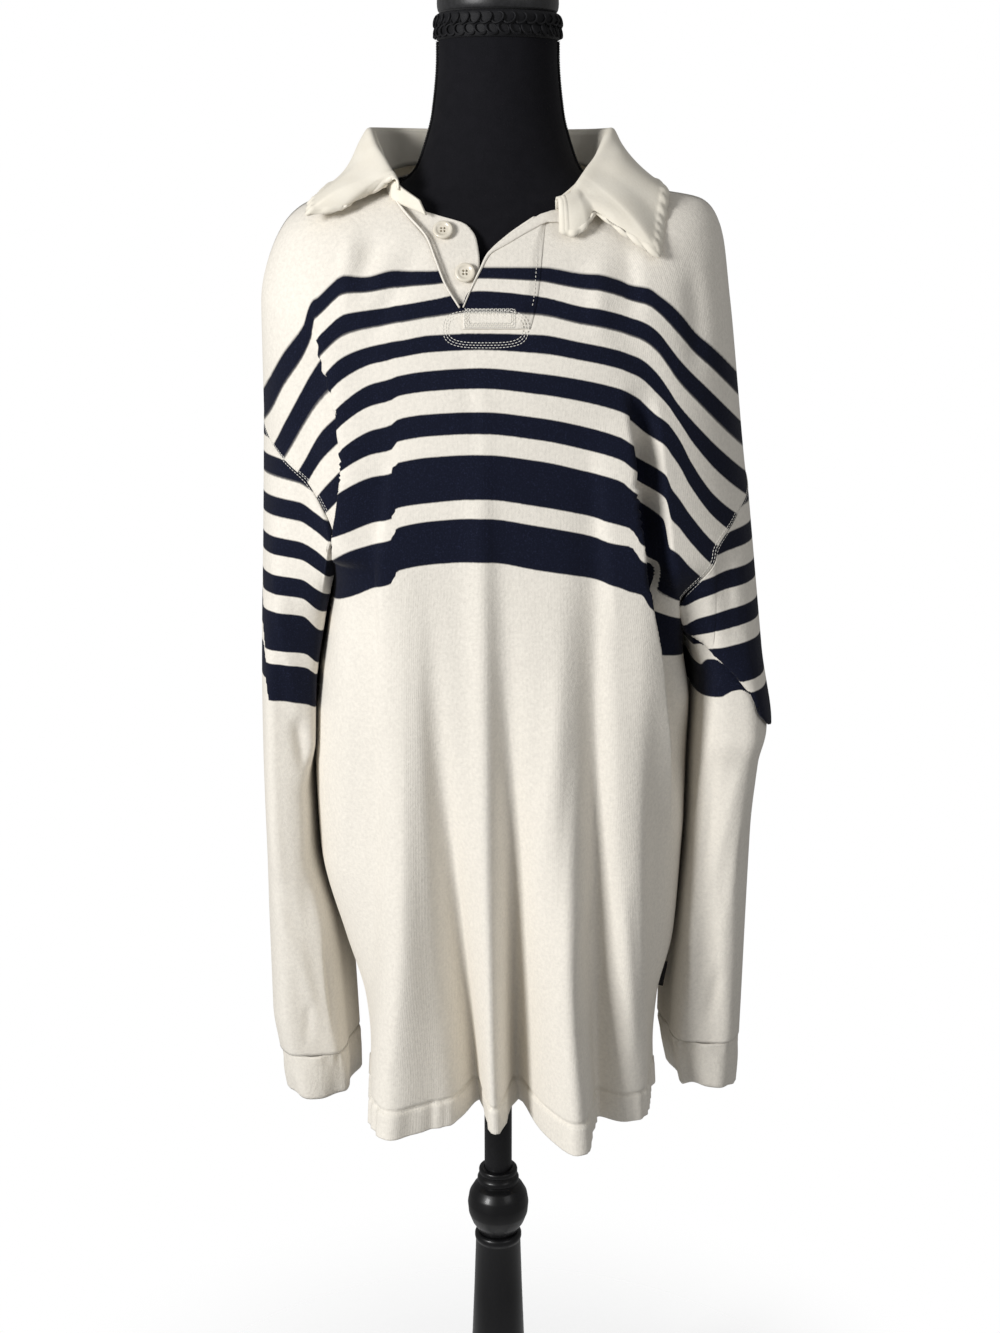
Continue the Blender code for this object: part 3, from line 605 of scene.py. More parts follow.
LEFT_SLEEVE_CHART = Chart.table(
    (163, 175, 200, 221, 245),
    (27.6, 1111, 1118, 1125, 1128, 1130),
    (55.3, 1079, 1086, 1092, 1094.5, 1096),
    (84.8, 1046, 1052, 1059, 1060.5, 1062),
    (122.7, 1009, 1018, 1024, 1027, 1029),
    (158.5, 982, 988, 992, 995, 997),
    (195, 947, 953, 957, 960.5, 963),
    (211.7, 937, 942, 947, 950, 953),
    (248, 901, 906, 911, 908, 895),
)


# ---- shader maths

class Signal:
    """A number that a node gives out; arithmetic on it adds Math nodes."""

    def __init__(self, kit: "NodeKit", socket: bpy.types.NodeSocket) -> None:
        """Wraps one output socket."""
        self.kit, self.socket = kit, socket

    def maths(self, operation: str, *values: "Signal | float") -> "Signal":
        """One Math node on these values."""
        return self.kit.node("ShaderNodeMath", {"operation": operation}, dict(enumerate(values)))

    def __add__(self, other: "Signal | float") -> "Signal":
        """self + other."""
        return self.maths("ADD", self, other)

    def __radd__(self, other: float) -> "Signal":
        """other + self."""
        return self.maths("ADD", other, self)

    def __sub__(self, other: "Signal | float") -> "Signal":
        """self - other."""
        return self.maths("SUBTRACT", self, other)

    def __rsub__(self, other: float) -> "Signal":
        """other - self."""
        return self.maths("SUBTRACT", other, self)

    def __mul__(self, other: "Signal | float") -> "Signal":
        """self * other."""
        return self.maths("MULTIPLY", self, other)

    def __rmul__(self, other: float) -> "Signal":
        """other * self."""
        return self.maths("MULTIPLY", other, self)

    def wave(self, pitch: float) -> "Signal":
        """A sine wave from 0 to 1 with this pitch."""
        return self.maths("SINE", self * (2 * math.pi / pitch)) * 0.5 + 0.5

    def step(self, low: float, high: float) -> "Signal":
        """A soft step from 0 at low to 1 at high.

        Args:
            low: where it starts.
            high: where it ends.

        Returns:
            The step.
        """
        return self.kit.node(
            "ShaderNodeMapRange", {"interpolation_type": "SMOOTHSTEP"},
            {"Value": self, "From Min": low, "From Max": high},
        )


Value = Signal | float | tuple


class NodeKit:
    """One material's nodes."""

    def __init__(self, name: str) -> None:
        """Starts a material of this name with its Principled shader.

        Args:
            name: the material's name.
        """
        self.material = bpy.data.materials.new(name)
        self.material.use_nodes = True
        self.tree = self.material.node_tree
        self.shader = self.tree.nodes["Principled BSDF"]

    def node(
        self, kind: str, settings: dict[str, object], inputs: dict[str | int, Value],
        output: str | int = 0,
    ) -> Signal:
        """Adds a node.

        Args:
            kind: the node's type.
            settings: its properties; "stops" are a ramp's (place, grey) pairs.
            inputs: values or links for its sockets, by name or number.
            output: the socket that is handed back.

        Returns:
            The output as a Signal.
        """
        made = self.tree.nodes.new(kind)
        for name, value in settings.items():
            if name == "stops":
                self.stops(made.color_ramp, value)
            else:
                setattr(made, name, value)
        for name, value in inputs.items():
            self.feed(made.inputs[name], value)
        return Signal(self, made.outputs[output])

    @staticmethod
    def stops(ramp: bpy.types.ColorRamp, stops: Sequence[tuple]) -> None:
        """Sets a ramp's stops.

        Args:
            ramp: the ramp.
            stops: each stop's place and grey.
        """
        while len(ramp.elements) < len(stops):
            ramp.elements.new(1.0)
        for element, (place, grey) in zip(ramp.elements, stops):
            element.position, element.color = place, (grey, grey, grey, 1)

    def feed(self, socket: bpy.types.NodeSocket, value: Value) -> None:
        """Gives a socket its value or its link.

        Args:
            socket: the socket.
            value: a value, or the output that it is linked to.
        """
        if isinstance(value, Signal):
            self.tree.links.new(value.socket, socket)
        elif isinstance(value, tuple) and socket.type == "RGBA":
            socket.default_value = (*value, 1)[:4]
        else:
            socket.default_value = value

    def place(self) -> Signal:
        """Object coordinates."""
        return self.node("ShaderNodeTexCoord", {}, {}, "Object")

    def noise(self, scale: float, detail: float = 2.0, at: Signal | None = None) -> Signal:
        """Noise from 0 to 1, about this many lumps a metre."""
        inputs = {"Vector": at or self.place(), "Scale": scale, "Detail": detail}
        return self.node("ShaderNodeTexNoise", {}, inputs, "Fac")

    def cloth(self) -> tuple[Signal, Signal, Signal]:
        """The place across the cloth, down it and in its stripes."""
        at = self.node("ShaderNodeAttribute", {"attribute_name": "cloth"}, {}, "Vector")
        return tuple(self.node("ShaderNodeSeparateXYZ", {}, {0: at}, k) for k in range(3))

    def stretched(self, scale: Triple) -> Signal:
        """Object coordinates drawn out or pushed together along each axis."""
        return self.node("ShaderNodeMapping", {}, {"Vector": self.place(), "Scale": scale})

    def blend(self, share: Value, first: Value, second: Value) -> Signal:
        """A colour between two."""
        return self.node("ShaderNodeMix", {"data_type": "RGBA"}, {0: share, 6: first, 7: second}, 2)

    def shaded(self, colour: Value, shade: Signal) -> Signal:
        """A colour made darker or lighter."""
        return self.node("ShaderNodeVectorMath", {"operation": "SCALE"}, {0: colour, "Scale": shade})

    def bump(self, height: Signal, depth: float) -> Signal:
        """A bump whose height runs from 0 to 1 over this depth in metres."""
        return self.node("ShaderNodeBump", {}, {"Height": height, "Distance": depth, "Strength": 1.0})

    def finish(self, **sockets: Value) -> Finish:
        """Sets the shader's sockets and gives the material.

        Args:
            sockets: a value or an output for each socket, by name.

        Returns:
            The material.
        """
        for name, value in sockets.items():
            self.feed(self.shader.inputs[name.replace("_", " ").title().replace("Ior", "IOR")], value)
        return self.material


@dataclass(frozen=True)
class Jersey:
    """Brushed cotton jersey: knit wales, a soft nap, and navy bands where it is charted."""

    name: str
    cream: Triple = (0.830, 0.785, 0.705)
    navy: Triple = (0.0045, 0.0062, 0.0165)
    faded: Triple = (0.026, 0.032, 0.072)
    banded: bool = True
    nap: float = 0.00028
    edge: float = 0.0005
    wale: float = 0.0011
    course: float = 0.0009
    chart_reach: float = 0.30
    chart_margin: float = 0.02
    blur: float = 0.0008

    def band_stops(self) -> list[tuple[float, float]]:
        """The ramp's stops over the chart's reach: 1 in a navy band, 0 in the cream.

        Returns:
            Each stop's place and grey.
        """
        stops = [(0.0, 0.0)]
        for band in NAVY_BANDS:
            for line, (before, after) in zip(band, ((0.0, 1.0), (1.0, 0.0))):
                at = (line + self.chart_margin) / self.chart_reach
                stops += [(at - self.blur, before), (at + self.blur, after)]
        return stops

    def make(self) -> Finish:
        """Builds the material.

        Returns:
            The jersey, cream all over where it isn't banded.
        """
        kit = NodeKit(self.name)
        across, down, place = kit.cloth()
        cloudy, mottled, flecks = kit.noise(9, 3), kit.noise(330, 3), kit.noise(1500, 2)
        shade = kit.node("ShaderNodeMapRange", {}, {
            "Value": cloudy, "From Min": 0.3, "From Max": 0.7, "To Min": 0.965, "To Max": 1.0,
        })
        colour = kit.shaded(self.cream, shade * (0.795 + mottled * 0.26 + flecks * 0.16))
        if self.banded:
            wander = place + (mottled - 0.5) * self.edge + (flecks - 0.5) * self.edge
            share = (wander + self.chart_margin) * (1 / self.chart_reach)
            band = kit.node("ShaderNodeValToRGB", {"stops": self.band_stops()}, {"Fac": share})
            lit = kit.noise(900, 3).step(0.50, 0.80)
            colour = kit.blend(band, colour, kit.blend(lit * 0.5, self.navy, self.faded))
        knit = across.wave(self.wale) * 0.22 + down.wave(self.course) * 0.12
        return kit.finish(
            base_color=colour, roughness=0.86 + (mottled - 0.5) * 0.12,
            normal=kit.bump(knit + flecks * 1.0 + mottled * 1.4, self.nap), sheen_weight=0.08,
            sheen_roughness=0.45, sheen_tint=(1.0, 0.97, 0.92), specular_ior_level=0.12,
        )


@dataclass(frozen=True)
class Twill:
    """Cotton twill: fine diagonal ribs, softened by wear."""

    name: str
    colour: Triple = (0.860, 0.805, 0.690)
    worn: Triple = (0.905, 0.855, 0.745)
    rib: float = 0.0011
    relief: float = 0.00016

    def make(self) -> Finish:
        """Builds the material.

        Returns:
            The twill.
        """
        kit = NodeKit(self.name)
        across, down, _ = kit.cloth()
        ribs = (across + down).wave(self.rib)
        cloudy, mottled = kit.noise(38, 4), kit.noise(520, 3)
        colour = kit.blend(cloudy.step(0.35, 0.7), self.colour, self.worn)
        return kit.finish(
            base_color=kit.shaded(colour, 0.955 + mottled * 0.06 + ribs * 0.02), roughness=0.82,
            normal=kit.bump(ribs * 0.5 + mottled * 0.8, self.relief), sheen_weight=0.12,
            sheen_roughness=0.5, specular_ior_level=0.3,
        )


@dataclass(frozen=True)
class Plain:
    """A finish of one colour with fine grain: thread, tape, resin, braid, lacquer, paper."""

    name: str
    dark: Triple
    light: Triple
    roughness: float = 0.5
    grain: float = 400.0
    relief: float = 0.0001
    sheen: float = 0.0
    coat: float = 0.0
    specular: float = 0.5
    stretch: Triple = (1.0, 1.0, 1.0)

    def make(self) -> Finish:
        """Builds the material.

        Returns:
            The finish, mottled between its dark and its light colour.
        """
        kit = NodeKit(self.name)
        at = kit.stretched(self.stretch)
        fine = kit.noise(self.grain, 4, at)
        broad = kit.noise(self.grain / 14, 3, at)
        colour = kit.blend((fine * 0.6 + broad * 0.4).step(0.3, 0.7), self.dark, self.light)
        return kit.finish(
            base_color=colour, roughness=self.roughness + (broad - 0.5) * 0.12,
            normal=kit.bump(fine, self.relief), sheen_weight=self.sheen,
            coat_weight=self.coat, coat_roughness=0.12, specular_ior_level=self.specular,
        )


@dataclass(frozen=True)
class Paper:
    """The studio's floor: pale paper that fades into the white surround away from the object."""

    name: str
    colour: Triple = (0.88, 0.88, 0.88)
    near: float = 0.10
    far: float = 0.62

    def make(self) -> Finish:
        """Builds the material.

        Returns:
            The paper, clear beyond its far distance.
        """
        kit = NodeKit(self.name)
        away = kit.node("ShaderNodeVectorMath", {"operation": "LENGTH"}, {0: kit.place()}, "Value")
        return kit.finish(
            base_color=self.colour, roughness=0.9 + (kit.noise(30) - 0.5) * 0.02,
            emission_color=(0.35, 0.35, 0.35), emission_strength=1.0, specular_ior_level=0.1,
            alpha=1 - away.step(self.near, self.far),
        )


@dataclass(frozen=True)
class Finishes:
    """Every finish of the object."""

    jersey: Jersey = Jersey("striped_jersey")
    plain_jersey: Jersey = Jersey("cream_jersey", banded=False)
    cuff: Jersey = Jersey("cuff_jersey", cream=(0.815, 0.770, 0.690), banded=False, nap=0.0004)
    twill: Twill = Twill("collar_twill")
    thread: Plain = Plain("cotton_thread", (0.80, 0.77, 0.70), (0.88, 0.86, 0.80), 0.7, 3000, 0.0001, 0.2)
    pearl: Plain = Plain("button_resin", (0.70, 0.64, 0.53), (0.82, 0.77, 0.66), 0.30, 90, 0.00001, 0, 0.4)
    tape: Plain = Plain("black_tape", (0.006, 0.006, 0.008), (0.02, 0.02, 0.023), 0.75, 2200, 0.0002, 0.1)
    cover: Plain = Plain(
        "form_cover", (0.0050, 0.0050, 0.0068), (0.0090, 0.0088, 0.0112), 0.85, 1400, 0.00025, 0.02,
        specular=0.10,
    )
    braid: Plain = Plain(
        "braid_yarn", (0.003, 0.003, 0.004), (0.009, 0.009, 0.011), 0.55, 2600, 0.0002, 0.03,
        specular=0.2,
    )
    lacquer: Plain = Plain(
        "black_lacquer", (0.003, 0.003, 0.0034), (0.006, 0.006, 0.007), 0.36, 60, 0.00006, 0, 0.12,
        specular=0.3,
        stretch=(1.0, 1.0, 0.25),
    )
    satin: Plain = Plain(
        "black_satin", (0.008, 0.008, 0.009), (0.020, 0.020, 0.022), 0.42, 300, 0.00012, 0.1
    )
    tube: Plain = Plain(
        "black_tube", (0.005, 0.005, 0.0056), (0.010, 0.010, 0.011), 0.42, 500, 0.00004, 0, 0.03,
        specular=0.28,
    )
    paper: Paper = Paper("studio_paper")


# ---- the shirt's body

class Level(NamedTuple):
    """One ring of the shirt's body.

    right and left are half widths, front and back depths from the axis, *_z the heights of the
    ring's four quarters, square the superellipse's power, and *_cut how far out the flat of the
    panel goes: to the shoulder seam, the armhole, or the side's corner.
    """

    right: float
    left: float
    front: float
    back: float
    right_z: float
    left_z: float
    front_z: float
    back_z: float
    square: float
    right_cut: float = 0.95
    left_cut: float = 0.95


class Span(NamedTuple):
    """A stretch of a half's columns, as shares of its width, and how many stand for each one."""

    low: float
    high: float
    times: int


# the levels of the sleeves' upper points, of the armholes' corners and of the hem
SLEEVE_POINT, CROTCH, HEM = 5, 8, 16


@dataclass
class ShirtBody:
    """The front and the back, with the opening at the neck and the turned-up hem."""

    spacing: float = 0.0050
    hem_rows: int = 3
    wall: float = 0.0015
    hem_wall: float = 0.0026
    hem_depth: float = 0.026
    neck_fade: float = 4.0
    underarm_drop: float = 0.9
    drop_fade: float = 3.0
    half_columns: int = 53
    right_spans: tuple[Span, ...] = (Span(0.48, 0.54, 3), Span(0.74, 0.93, 3))
    left_spans: tuple[Span, ...] = (Span(0.62, 0.94, 3),)
    wing_columns: int = 14
    middle: float = 0.0
    levels: tuple[Level, ...] = (
        Level(*mm(100, 88, 72, 66, 1383, 1386, 1352, 1397), 2.4, 1, 1),
        Level(*mm(130, 127, 92, 88, 1376.5, 1378, 1318, 1368), 2.3, 1, 1),
        Level(*mm(168, 176, 106, 103, 1364, 1368.5, 1284, 1335), 2.3, 1, 1),
        Level(*mm(190, 192.5, 115, 112, 1340, 1346, 1252, 1298), 2.3, 1, 1),
        Level(*mm(206, 202.5, 123, 117, 1283, 1283, 1215, 1250), 2.3, 1, 1),
        Level(*mm(206.5, 220.5, 130, 119, 1190, 1135, 1160, 1180), 2.3, 1, 1),
        Level(*mm(207.5, 228, 132, 119, 1140, 1098, 1125, 1130), 2.3, 0.795, 0.905),
        Level(*mm(209, 236, 132, 118, 1094, 1060, 1092, 1095), 2.4, 0.69, 0.792),
        Level(*mm(147, 166, 131, 117, 1070, 1025, 1058, 1060), 3.8),
        Level(*mm(150, 166, 130, 115, 1045, 985, 1018, 1018), 3.4),
        Level(*mm(163, 173.5, 128, 113, 965, 930, 950, 950), 3),
        Level(*mm(168, 174.5, 126, 112, 870, 860, 865, 865), 2.7),
        Level(*mm(165.5, 171, 123, 112, 790, 785, 790, 790), 2.6),
        Level(*mm(145, 166, 120, 112, 705, 705, 705, 705), 2.6),
        Level(*mm(124.5, 152, 117, 111, 640, 640, 640, 640), 2.6),
        Level(*mm(116.5, 148.5, 115, 110, 590, 590, 590, 590), 2.6),
        Level(*mm(120, 151, 114, 110, 543, 545, 542, 544), 2.6),
    )
    neck_edge: tuple[FrontPoint, ...] = listed(FrontPoint,
        (-100, 1383), (-90.5, 1376.5), (-74, 1356), (-58, 1338), (-43, 1302), (-30, 1283), (-10, 1322.5),
        (8, 1339), (30, 1352), (45, 1360), (88, 1386),
    )
    right_line: tuple[FrontPoint, ...] = listed(FrontPoint,
        (-185, 980), (-158, 1045), (-140.5, 1066), (-137, 1098), (-133, 1124), (-130.5, 1149.5),
        (-132, 1180), (-137, 1207), (-150, 1255.5), (-156, 1290),
    )
    left_line: tuple[FrontPoint, ...] = listed(FrontPoint,
        (158, 800), (150, 900), (143, 950), (135, 1005), (128, 1045), (122, 1090), (113, 1166),
        (108, 1220),
    )
    left_stripe_line: tuple[FrontPoint, ...] = listed(FrontPoint,
        (160, 860), (156, 900), (150, 950), (145.5, 1000), (144, 1050), (143, 1220),
    )
    right_chest: float = 0.0075
    right_chest_width: float = 0.026
    right_drop: float = 0.0050
    right_drop_width: float = 0.016
    left_chest: float = 0.0080
    left_chest_width: float = 0.022
    left_drop: float = 0.0260
    left_drop_widths: tuple[float, float] = (0.011, 0.026)
    hem_groove: float = 0.0022
    hem_round: float = 0.14
    hem_pucker: Ripple = Ripple(0.0008, 0.0017, 2, 0.011)
    hem_wave: Ripple = Ripple(0.0013, 0.0063, 1.7, 0.026)
    front_folds: tuple[Fold, ...] = listed(Fold,
        (-80, 1200, -80, 540, 12, 44, 26, 17), (-70, 1160, -22, 540, -12, -58, 15, 12),
        (-15, 1240, -5, 540, 9, 16, 13, 9), (1, 1200, 20, 540, -12, -58, 11, 14),
        (50, 1200, 62, 540, 11, 56, 20, 24), (79, 1160, 96, 540, -14, -20, 17, 9),
        (118, 1060, 121, 540, 10, 20, 22, 14), (-163, 1270, -158, 930, -7, 0, 14, 16),
    )
    back_folds: tuple[Fold, ...] = listed(Fold,
        (-70, 1200, -78, 540, 12, 30, 22, 22), (-40, 1100, -36, 540, -10, -34, 16, 16),
        (4, 1240, 2, 540, 12, 26, 20, 18), (42, 1080, 40, 540, -10, -36, 15, 17),
        (78, 1180, 86, 540, 12, 30, 20, 22), (126, 1050, 122, 540, -6, -14, 14, 14),
    )
    front_creases: tuple[Crease, ...] = listed(Crease,
        (-87, 1195, -86.5, 950, -3, 3, 20), (-92, 1190, -96, 800, 2.2, 12, 4),
        (-52, 1335, -118, 1245, -3.5, 9, 12), (-82, 1345, -140, 1280, -3, 8, 10),
        (84, 1190, 104, 1000, 4.5, 20, 4), (100, 1300, 150, 1180, -2.5, 12, 16),
        (30, 1290, 96, 1330, -1.8, 8, 10), (-55, 1060, -62, 640, 2.2, 8, 6), (40, 1050, 43, 640, 2, 7, 9),
        (-120, 960, -104, 620, -2.4, 10, 8), (90, 780, 87, 560, -4, 4, 10),
        (118, 800, 117, 580, 2.8, 7, 7), (-20, 840, -21, 590, -1.8, 5, 6), (63, 960, 60, 640, -2.2, 7, 6),
        (-140, 1000, -142, 720, 2, 7, 9), (-124, 1352, -128, 1262, 3.2, 10, 7),
        (-104, 1346, -112, 1276, -2.6, 7, 10), (112, 1348, 109, 1262, -3.4, 8, 12),
        (86, 1330, 83, 1250, 2.4, 9, 7), (158, 1330, 166, 1210, -3, 9, 11),
        (-23, 1262, -21, 1120, -1.6, 3, 9), (148, 960, 158, 800, 3, 7, 9),
    )
    back_creases: tuple[Crease, ...] = listed(Crease,
        (-100, 1300, -140, 1100, -4, 10, 12), (95, 1310, 150, 1090, -4.5, 11, 13),
        (-30, 1350, -60, 1200, -2.5, 9, 11), (34, 1345, 52, 1190, -2.2, 9, 8),
        (-118, 1050, -125, 700, -3, 6, 11), (60, 1000, 64, 620, 2.6, 7, 6),
        (-20, 1080, -18, 650, -2.8, 7, 9), (105, 950, 104, 600, 2.8, 8, 7),
        (148, 1000, 146, 700, -2.6, 8, 9), (-90, 900, -98, 600, 2.4, 8, 6), (20, 860, 21, 590, -2, 5, 6),
        (-140, 900, -122, 640, 2, 7, 8),
    )

    def value(self, name: str, level: Array | float) -> Array:
        """A column of the levels at any place between two of them."""
        return monotone(range(len(self.levels)), [getattr(r, name) for r in self.levels], level)

    def base(self, x: Array, level: Array, facing: Facing) -> Array:
        """Points of the front or back on the rings.

        Args:
            x: how far to the wearer's left.
            level: which ring, or where between two.
            facing: front or back.

        Returns:
            Points with the large folds in them.
        """
        sign = facing.value
        depth, middle = ("front", "front_z") if sign < 0 else ("back", "back_z")
        depth, middle_z = self.value(depth, level), self.value(middle, level)
        half = np.where(x > 0, self.value("left", level), self.value("right", level))
        side_z = np.where(x > 0, self.value("left_z", level), self.value("right_z", level))
        n = self.value("square", level)
        out = np.minimum(np.abs(x) / half, 1.0)
        y = sign * depth * np.maximum(1 - out**n, 0) ** (1 / n)
        z = mix(middle_z, side_z, out**n)
        normal = np.stack((
            np.copysign(out ** (n - 1) / half, x),
            sign * (np.abs(y) / depth) ** (n - 1) / depth,
            np.zeros_like(out),
        ), axis=-1)
        folds = self.front_folds if sign < 0 else self.back_folds
        points = np.stack(np.broadcast_arrays(x, y, z), axis=-1)
        return points + unit(normal) * fold_height(folds, x, z)[..., None]

    def across(self, share: Array, level: Array, facing: Facing) -> Array:
        """Points of a panel between its armholes or corners; share runs from -1 to 1.

        Args:
            share: how far across.
            level: which ring, or where between two.
            facing: front or back.

        Returns:
            The points.
        """
        half = np.where(share > 0, self.value("left", level), self.value("right", level))
        cut = np.where(share > 0, self.value("left_cut", level), self.value("right_cut", level))
        return self.base(share * half * cut, level, facing)

    def wing(self, side: Side, turn: Array, level: Array, facing: Facing) -> Array:
        """The side of the body under the arm: turn runs from the panel's corner to the seam.

        Args:
            side: which arm.
            turn: how far round, from 0 to 1.
            level: which ring, or where between two.
            facing: front or back.

        Returns:
            The points.
        """
        name = side.name.lower()
        half, cut = self.value(name, level), self.value(name + "_cut", level)
        n = self.value("square", level)
        angle = mix(np.arcsin(cut ** (n / 2)), math.pi / 2, turn)
        points = self.base(side.value * half * np.sin(angle) ** (2 / n), level, facing)
        seam = np.stack(np.broadcast_arrays(
            side.value * half, 0 * half, self.value(name + "_z", level)), axis=-1)
        return np.where((turn >= 1)[..., None], seam, points)

    def neck_levels(self, shares: Array) -> Array:
        """The level at which each column of the front meets the neck edge.

        Args:
            shares: how far across each column is.

        Returns:
            One level for each column.
        """
        def above(level: Array) -> Array:
            """Where the panel at a level is above the neck edge."""
            points = self.across(shares, level, Facing.FRONT)
            return points[:, 2] > read_straight(self.neck_edge, "x", "z", points[:, 0])

        return last_where(above, self.neck_fade, shares)

    def rows(self) -> Array:
        """The levels of the rows, close enough together for the spacing.

        Returns:
            The levels, from the neck down.
        """
        found = [0.0]
        for k in range(HEM):
            a, b = self.levels[k], self.levels[k + 1]
            fall = max(a.front_z - b.front_z, a.left_z - b.left_z, a.right_z - b.right_z, 0.02)
            if k < 3:
                fall = max(fall, 0.045)
            spacing = self.spacing / 2 if SLEEVE_POINT <= k < CROTCH else self.spacing
            count = max(2, math.ceil(fall / spacing))
            for i in range(count):
                low = k == HEM - 1 and (count - i) * fall / count < self.hem_depth * 1.3
                times = self.hem_rows if low else 1
                found += [k + (i + (j + 1) / times) / count for j in range(times)]
        return np.array(found)

    def shares(self) -> Array:
        """The columns between the armholes, closer together at the folds and the sides.

        Returns:
            How far across each column is, from -1 to 1.
        """
        i = np.arange(self.half_columns + 1) / self.half_columns
        half = 0.5 * i + 0.5 * np.sin(math.pi / 2 * i)
        sides = []
        for spans in (self.right_spans, self.left_spans):
            found = [0.0]
            for a, b in zip(half, half[1:]):
                times = next((s.times for s in spans if s.low < (a + b) / 2 < s.high), 1)
                found += [mix(a, b, (k + 1) / times) for k in range(times)]
            sides.append(np.array(found))
        return np.concatenate((-sides[0][:0:-1], sides[1]))

    def side_fold(self, x: Array, z: Array) -> Array:
        """The folds beside the arms: the chest's cloth stands over the cloth that drops.

        Args:
            x: how far to the wearer's left.
            z: heights.

        Returns:
            How far they stand out at each place.
        """
        away = x - read(self.right_line, "z", "x", z)
        chest = bell(away, self.right_chest_width) * self.right_chest
        drop = -bell(away, self.right_drop_width) * self.right_drop
        drop, chest = drop * ease(1.056, 1.074, z), chest * ease(1.040, 1.096, z)
        right = ease(1.292, 1.235, z) * mix(drop, chest, ease(-0.0012, 0.0016, away))
        away = x - read(self.left_line, "z", "x", z)
        chest = bell(away, self.left_chest_width) * self.left_chest
        drop = -self.left_drop * (1 - ease(*self.left_drop_widths, away))
        share = ease(1.225, 1.150, z) * ease(0.800, 0.990, z)
        return right + share * mix(chest, drop, ease(-0.0016, 0.0016, away))

    def panel(self, facing: Facing) -> Panel:
        """The front's or the back's grid, from the right side seam to the left one.

        Args:
            facing: front or back.

        Returns:
            The panel, without its creases.
        """
        rows, shares = self.rows(), self.shares()
        start = self.neck_levels(shares) if facing is Facing.FRONT else np.zeros_like(shares)
        level = rows[:, None] + start * np.maximum(0, 1 - rows[:, None] / self.neck_fade)
        middle = self.across(np.broadcast_to(shares, level.shape), level, facing)
        turns = (np.arange(self.wing_columns) + 1) / self.wing_columns
        fade = np.maximum(0, 1 - (rows[:, None] - CROTCH) / self.drop_fade)
        drop = np.minimum(rows[:, None] + self.underarm_drop * turns * fade, HEM)
        wings = {}
        for side in Side:
            wings[side] = self.wing(side, np.broadcast_to(turns, drop.shape), drop, facing)
            wings[side][rows < CROTCH - 1e-9] = np.nan
        points = np.concatenate((wings[Side.RIGHT][:, ::-1], middle, wings[Side.LEFT]), axis=1)
        return Panel(points, False, facing.value)

    def armhole_rows(self) -> tuple[int, ...]:
        """The rows of the sleeve's upper point and of the armhole's corner."""
        return tuple(int(np.abs(self.rows() - level).argmin()) for level in (SLEEVE_POINT, CROTCH))

    def armhole(self, front: Panel, back: Panel, side: Side) -> tuple[Array, Array]:
        """The armhole's loop.

        Args:
            front: the front's grid.
            back: the back's grid.
            side: which armhole.

        Returns:
            Its points from the sleeve point down the front, under the arm and up the back, and
            how far round the sleeve each one is.
        """
        rows, (first, corner), wing = self.rows(), self.armhole_rows(), self.wing_columns
        edges = []
        for panel in (front, back):
            columns = panel.points.shape[1]
            middle = wing if side is Side.RIGHT else columns - 1 - wing
            step = -1 if side is Side.RIGHT else 1
            under = [panel.points[corner, middle + step * (i + 1)] for i in range(wing)]
            edges.append(np.concatenate((panel.points[first:corner + 1, middle], under)))
        turns = np.concatenate((
            np.interp(rows[first:corner + 1], (5, 5.5, 6, 7, 8), (0, 0.13, 0.22, 0.32, 0.38)),
            mix(0.38, 0.5, (np.arange(wing) + 1) / wing),
        ))
        return (np.concatenate((edges[0], edges[1][-2:0:-1])), np.concatenate((turns, 1 - turns[-2:0:-1])))

    def creased(self, points: Array, normals: Array) -> Array:
        """The points with the small creases in them.

        Args:
            points: a panel's points.
            normals: their normals.

        Returns:
            The moved points.
        """
        x, z, ahead = points[..., 0], points[..., 2], -normals[..., 1]
        height = crease_height(self.front_creases, x, z) * ease(0.0, 0.4, ahead)
        height += self.side_fold(x, z) * ease(-0.1, 0.1, ahead)
        height += crease_height(self.back_creases, x, z) * ease(0.0, 0.4, -ahead)
        return points + normals * height[..., None]

    def lifted(self, points: Array, normals: Array) -> Array:
        """The hem's band: its stitched line drawn in and its lower edge puckered.

        Args:
            points: a panel's points.
            normals: their normals.

        Returns:
            The moved points.
        """
        above = points[..., 2] - self.hem_z(points[..., 0])
        around = np.arctan2(points[..., 1], points[..., 0]) * self.hem_round
        groove = -self.hem_groove * bell(above - self.hem_depth, self.hem_groove)
        waves = self.hem_pucker.at(around) + self.hem_wave.at(around)
        band = ease(self.hem_depth + 0.006, self.hem_depth - 0.004, above)
        return points + normals * (groove + waves * band)[..., None]

    def thickness(self, points: Array) -> Array:
        """The wall's thickness at each point, more where the hem is turned up."""
        above = points[..., 2] - self.hem_z(points[..., 0])
        return np.where(above < self.hem_depth, self.hem_wall, self.wall)

    def hem_z(self, x: Array) -> Array:
        """The hem's height."""
        last = self.levels[-1]
        return np.where(x > 0, last.left_z, last.right_z) - 0.001

    def stripe_place(self, points: Array) -> Array:
        """Each point's place in the stripes, across the fold beside the right arm too.

        Args:
            points: a panel's points.

        Returns:
            One place for each point.
        """
        x, z = points[..., 0], points[..., 2]
        wide = mix(0.0012, 0.0150, ease(1.235, 1.290, z))
        chest = ease(-wide, wide * 0.8, x - read(self.right_line, "z", "x", z))
        place = mix(ARM_DROP_CHART.place(x, z), CHEST_CHART.place(x, z), chest)
        line = read_straight(self.left_stripe_line, "z", "x", z)
        drop = ease(-0.0024, 0.0024, x - line) * ease(1.19, 1.15, z)
        return mix(place, LEFT_DROP_CHART.place(x, z), drop)


# ---- sleeves and cuffs

class Tube(NamedTuple):
    """One ring of a sleeve or cuff: distances from the axis, depths, and its flutes' height."""

    z: float
    outer: float
    inner: float
    front: float
    back: float
    wave: float


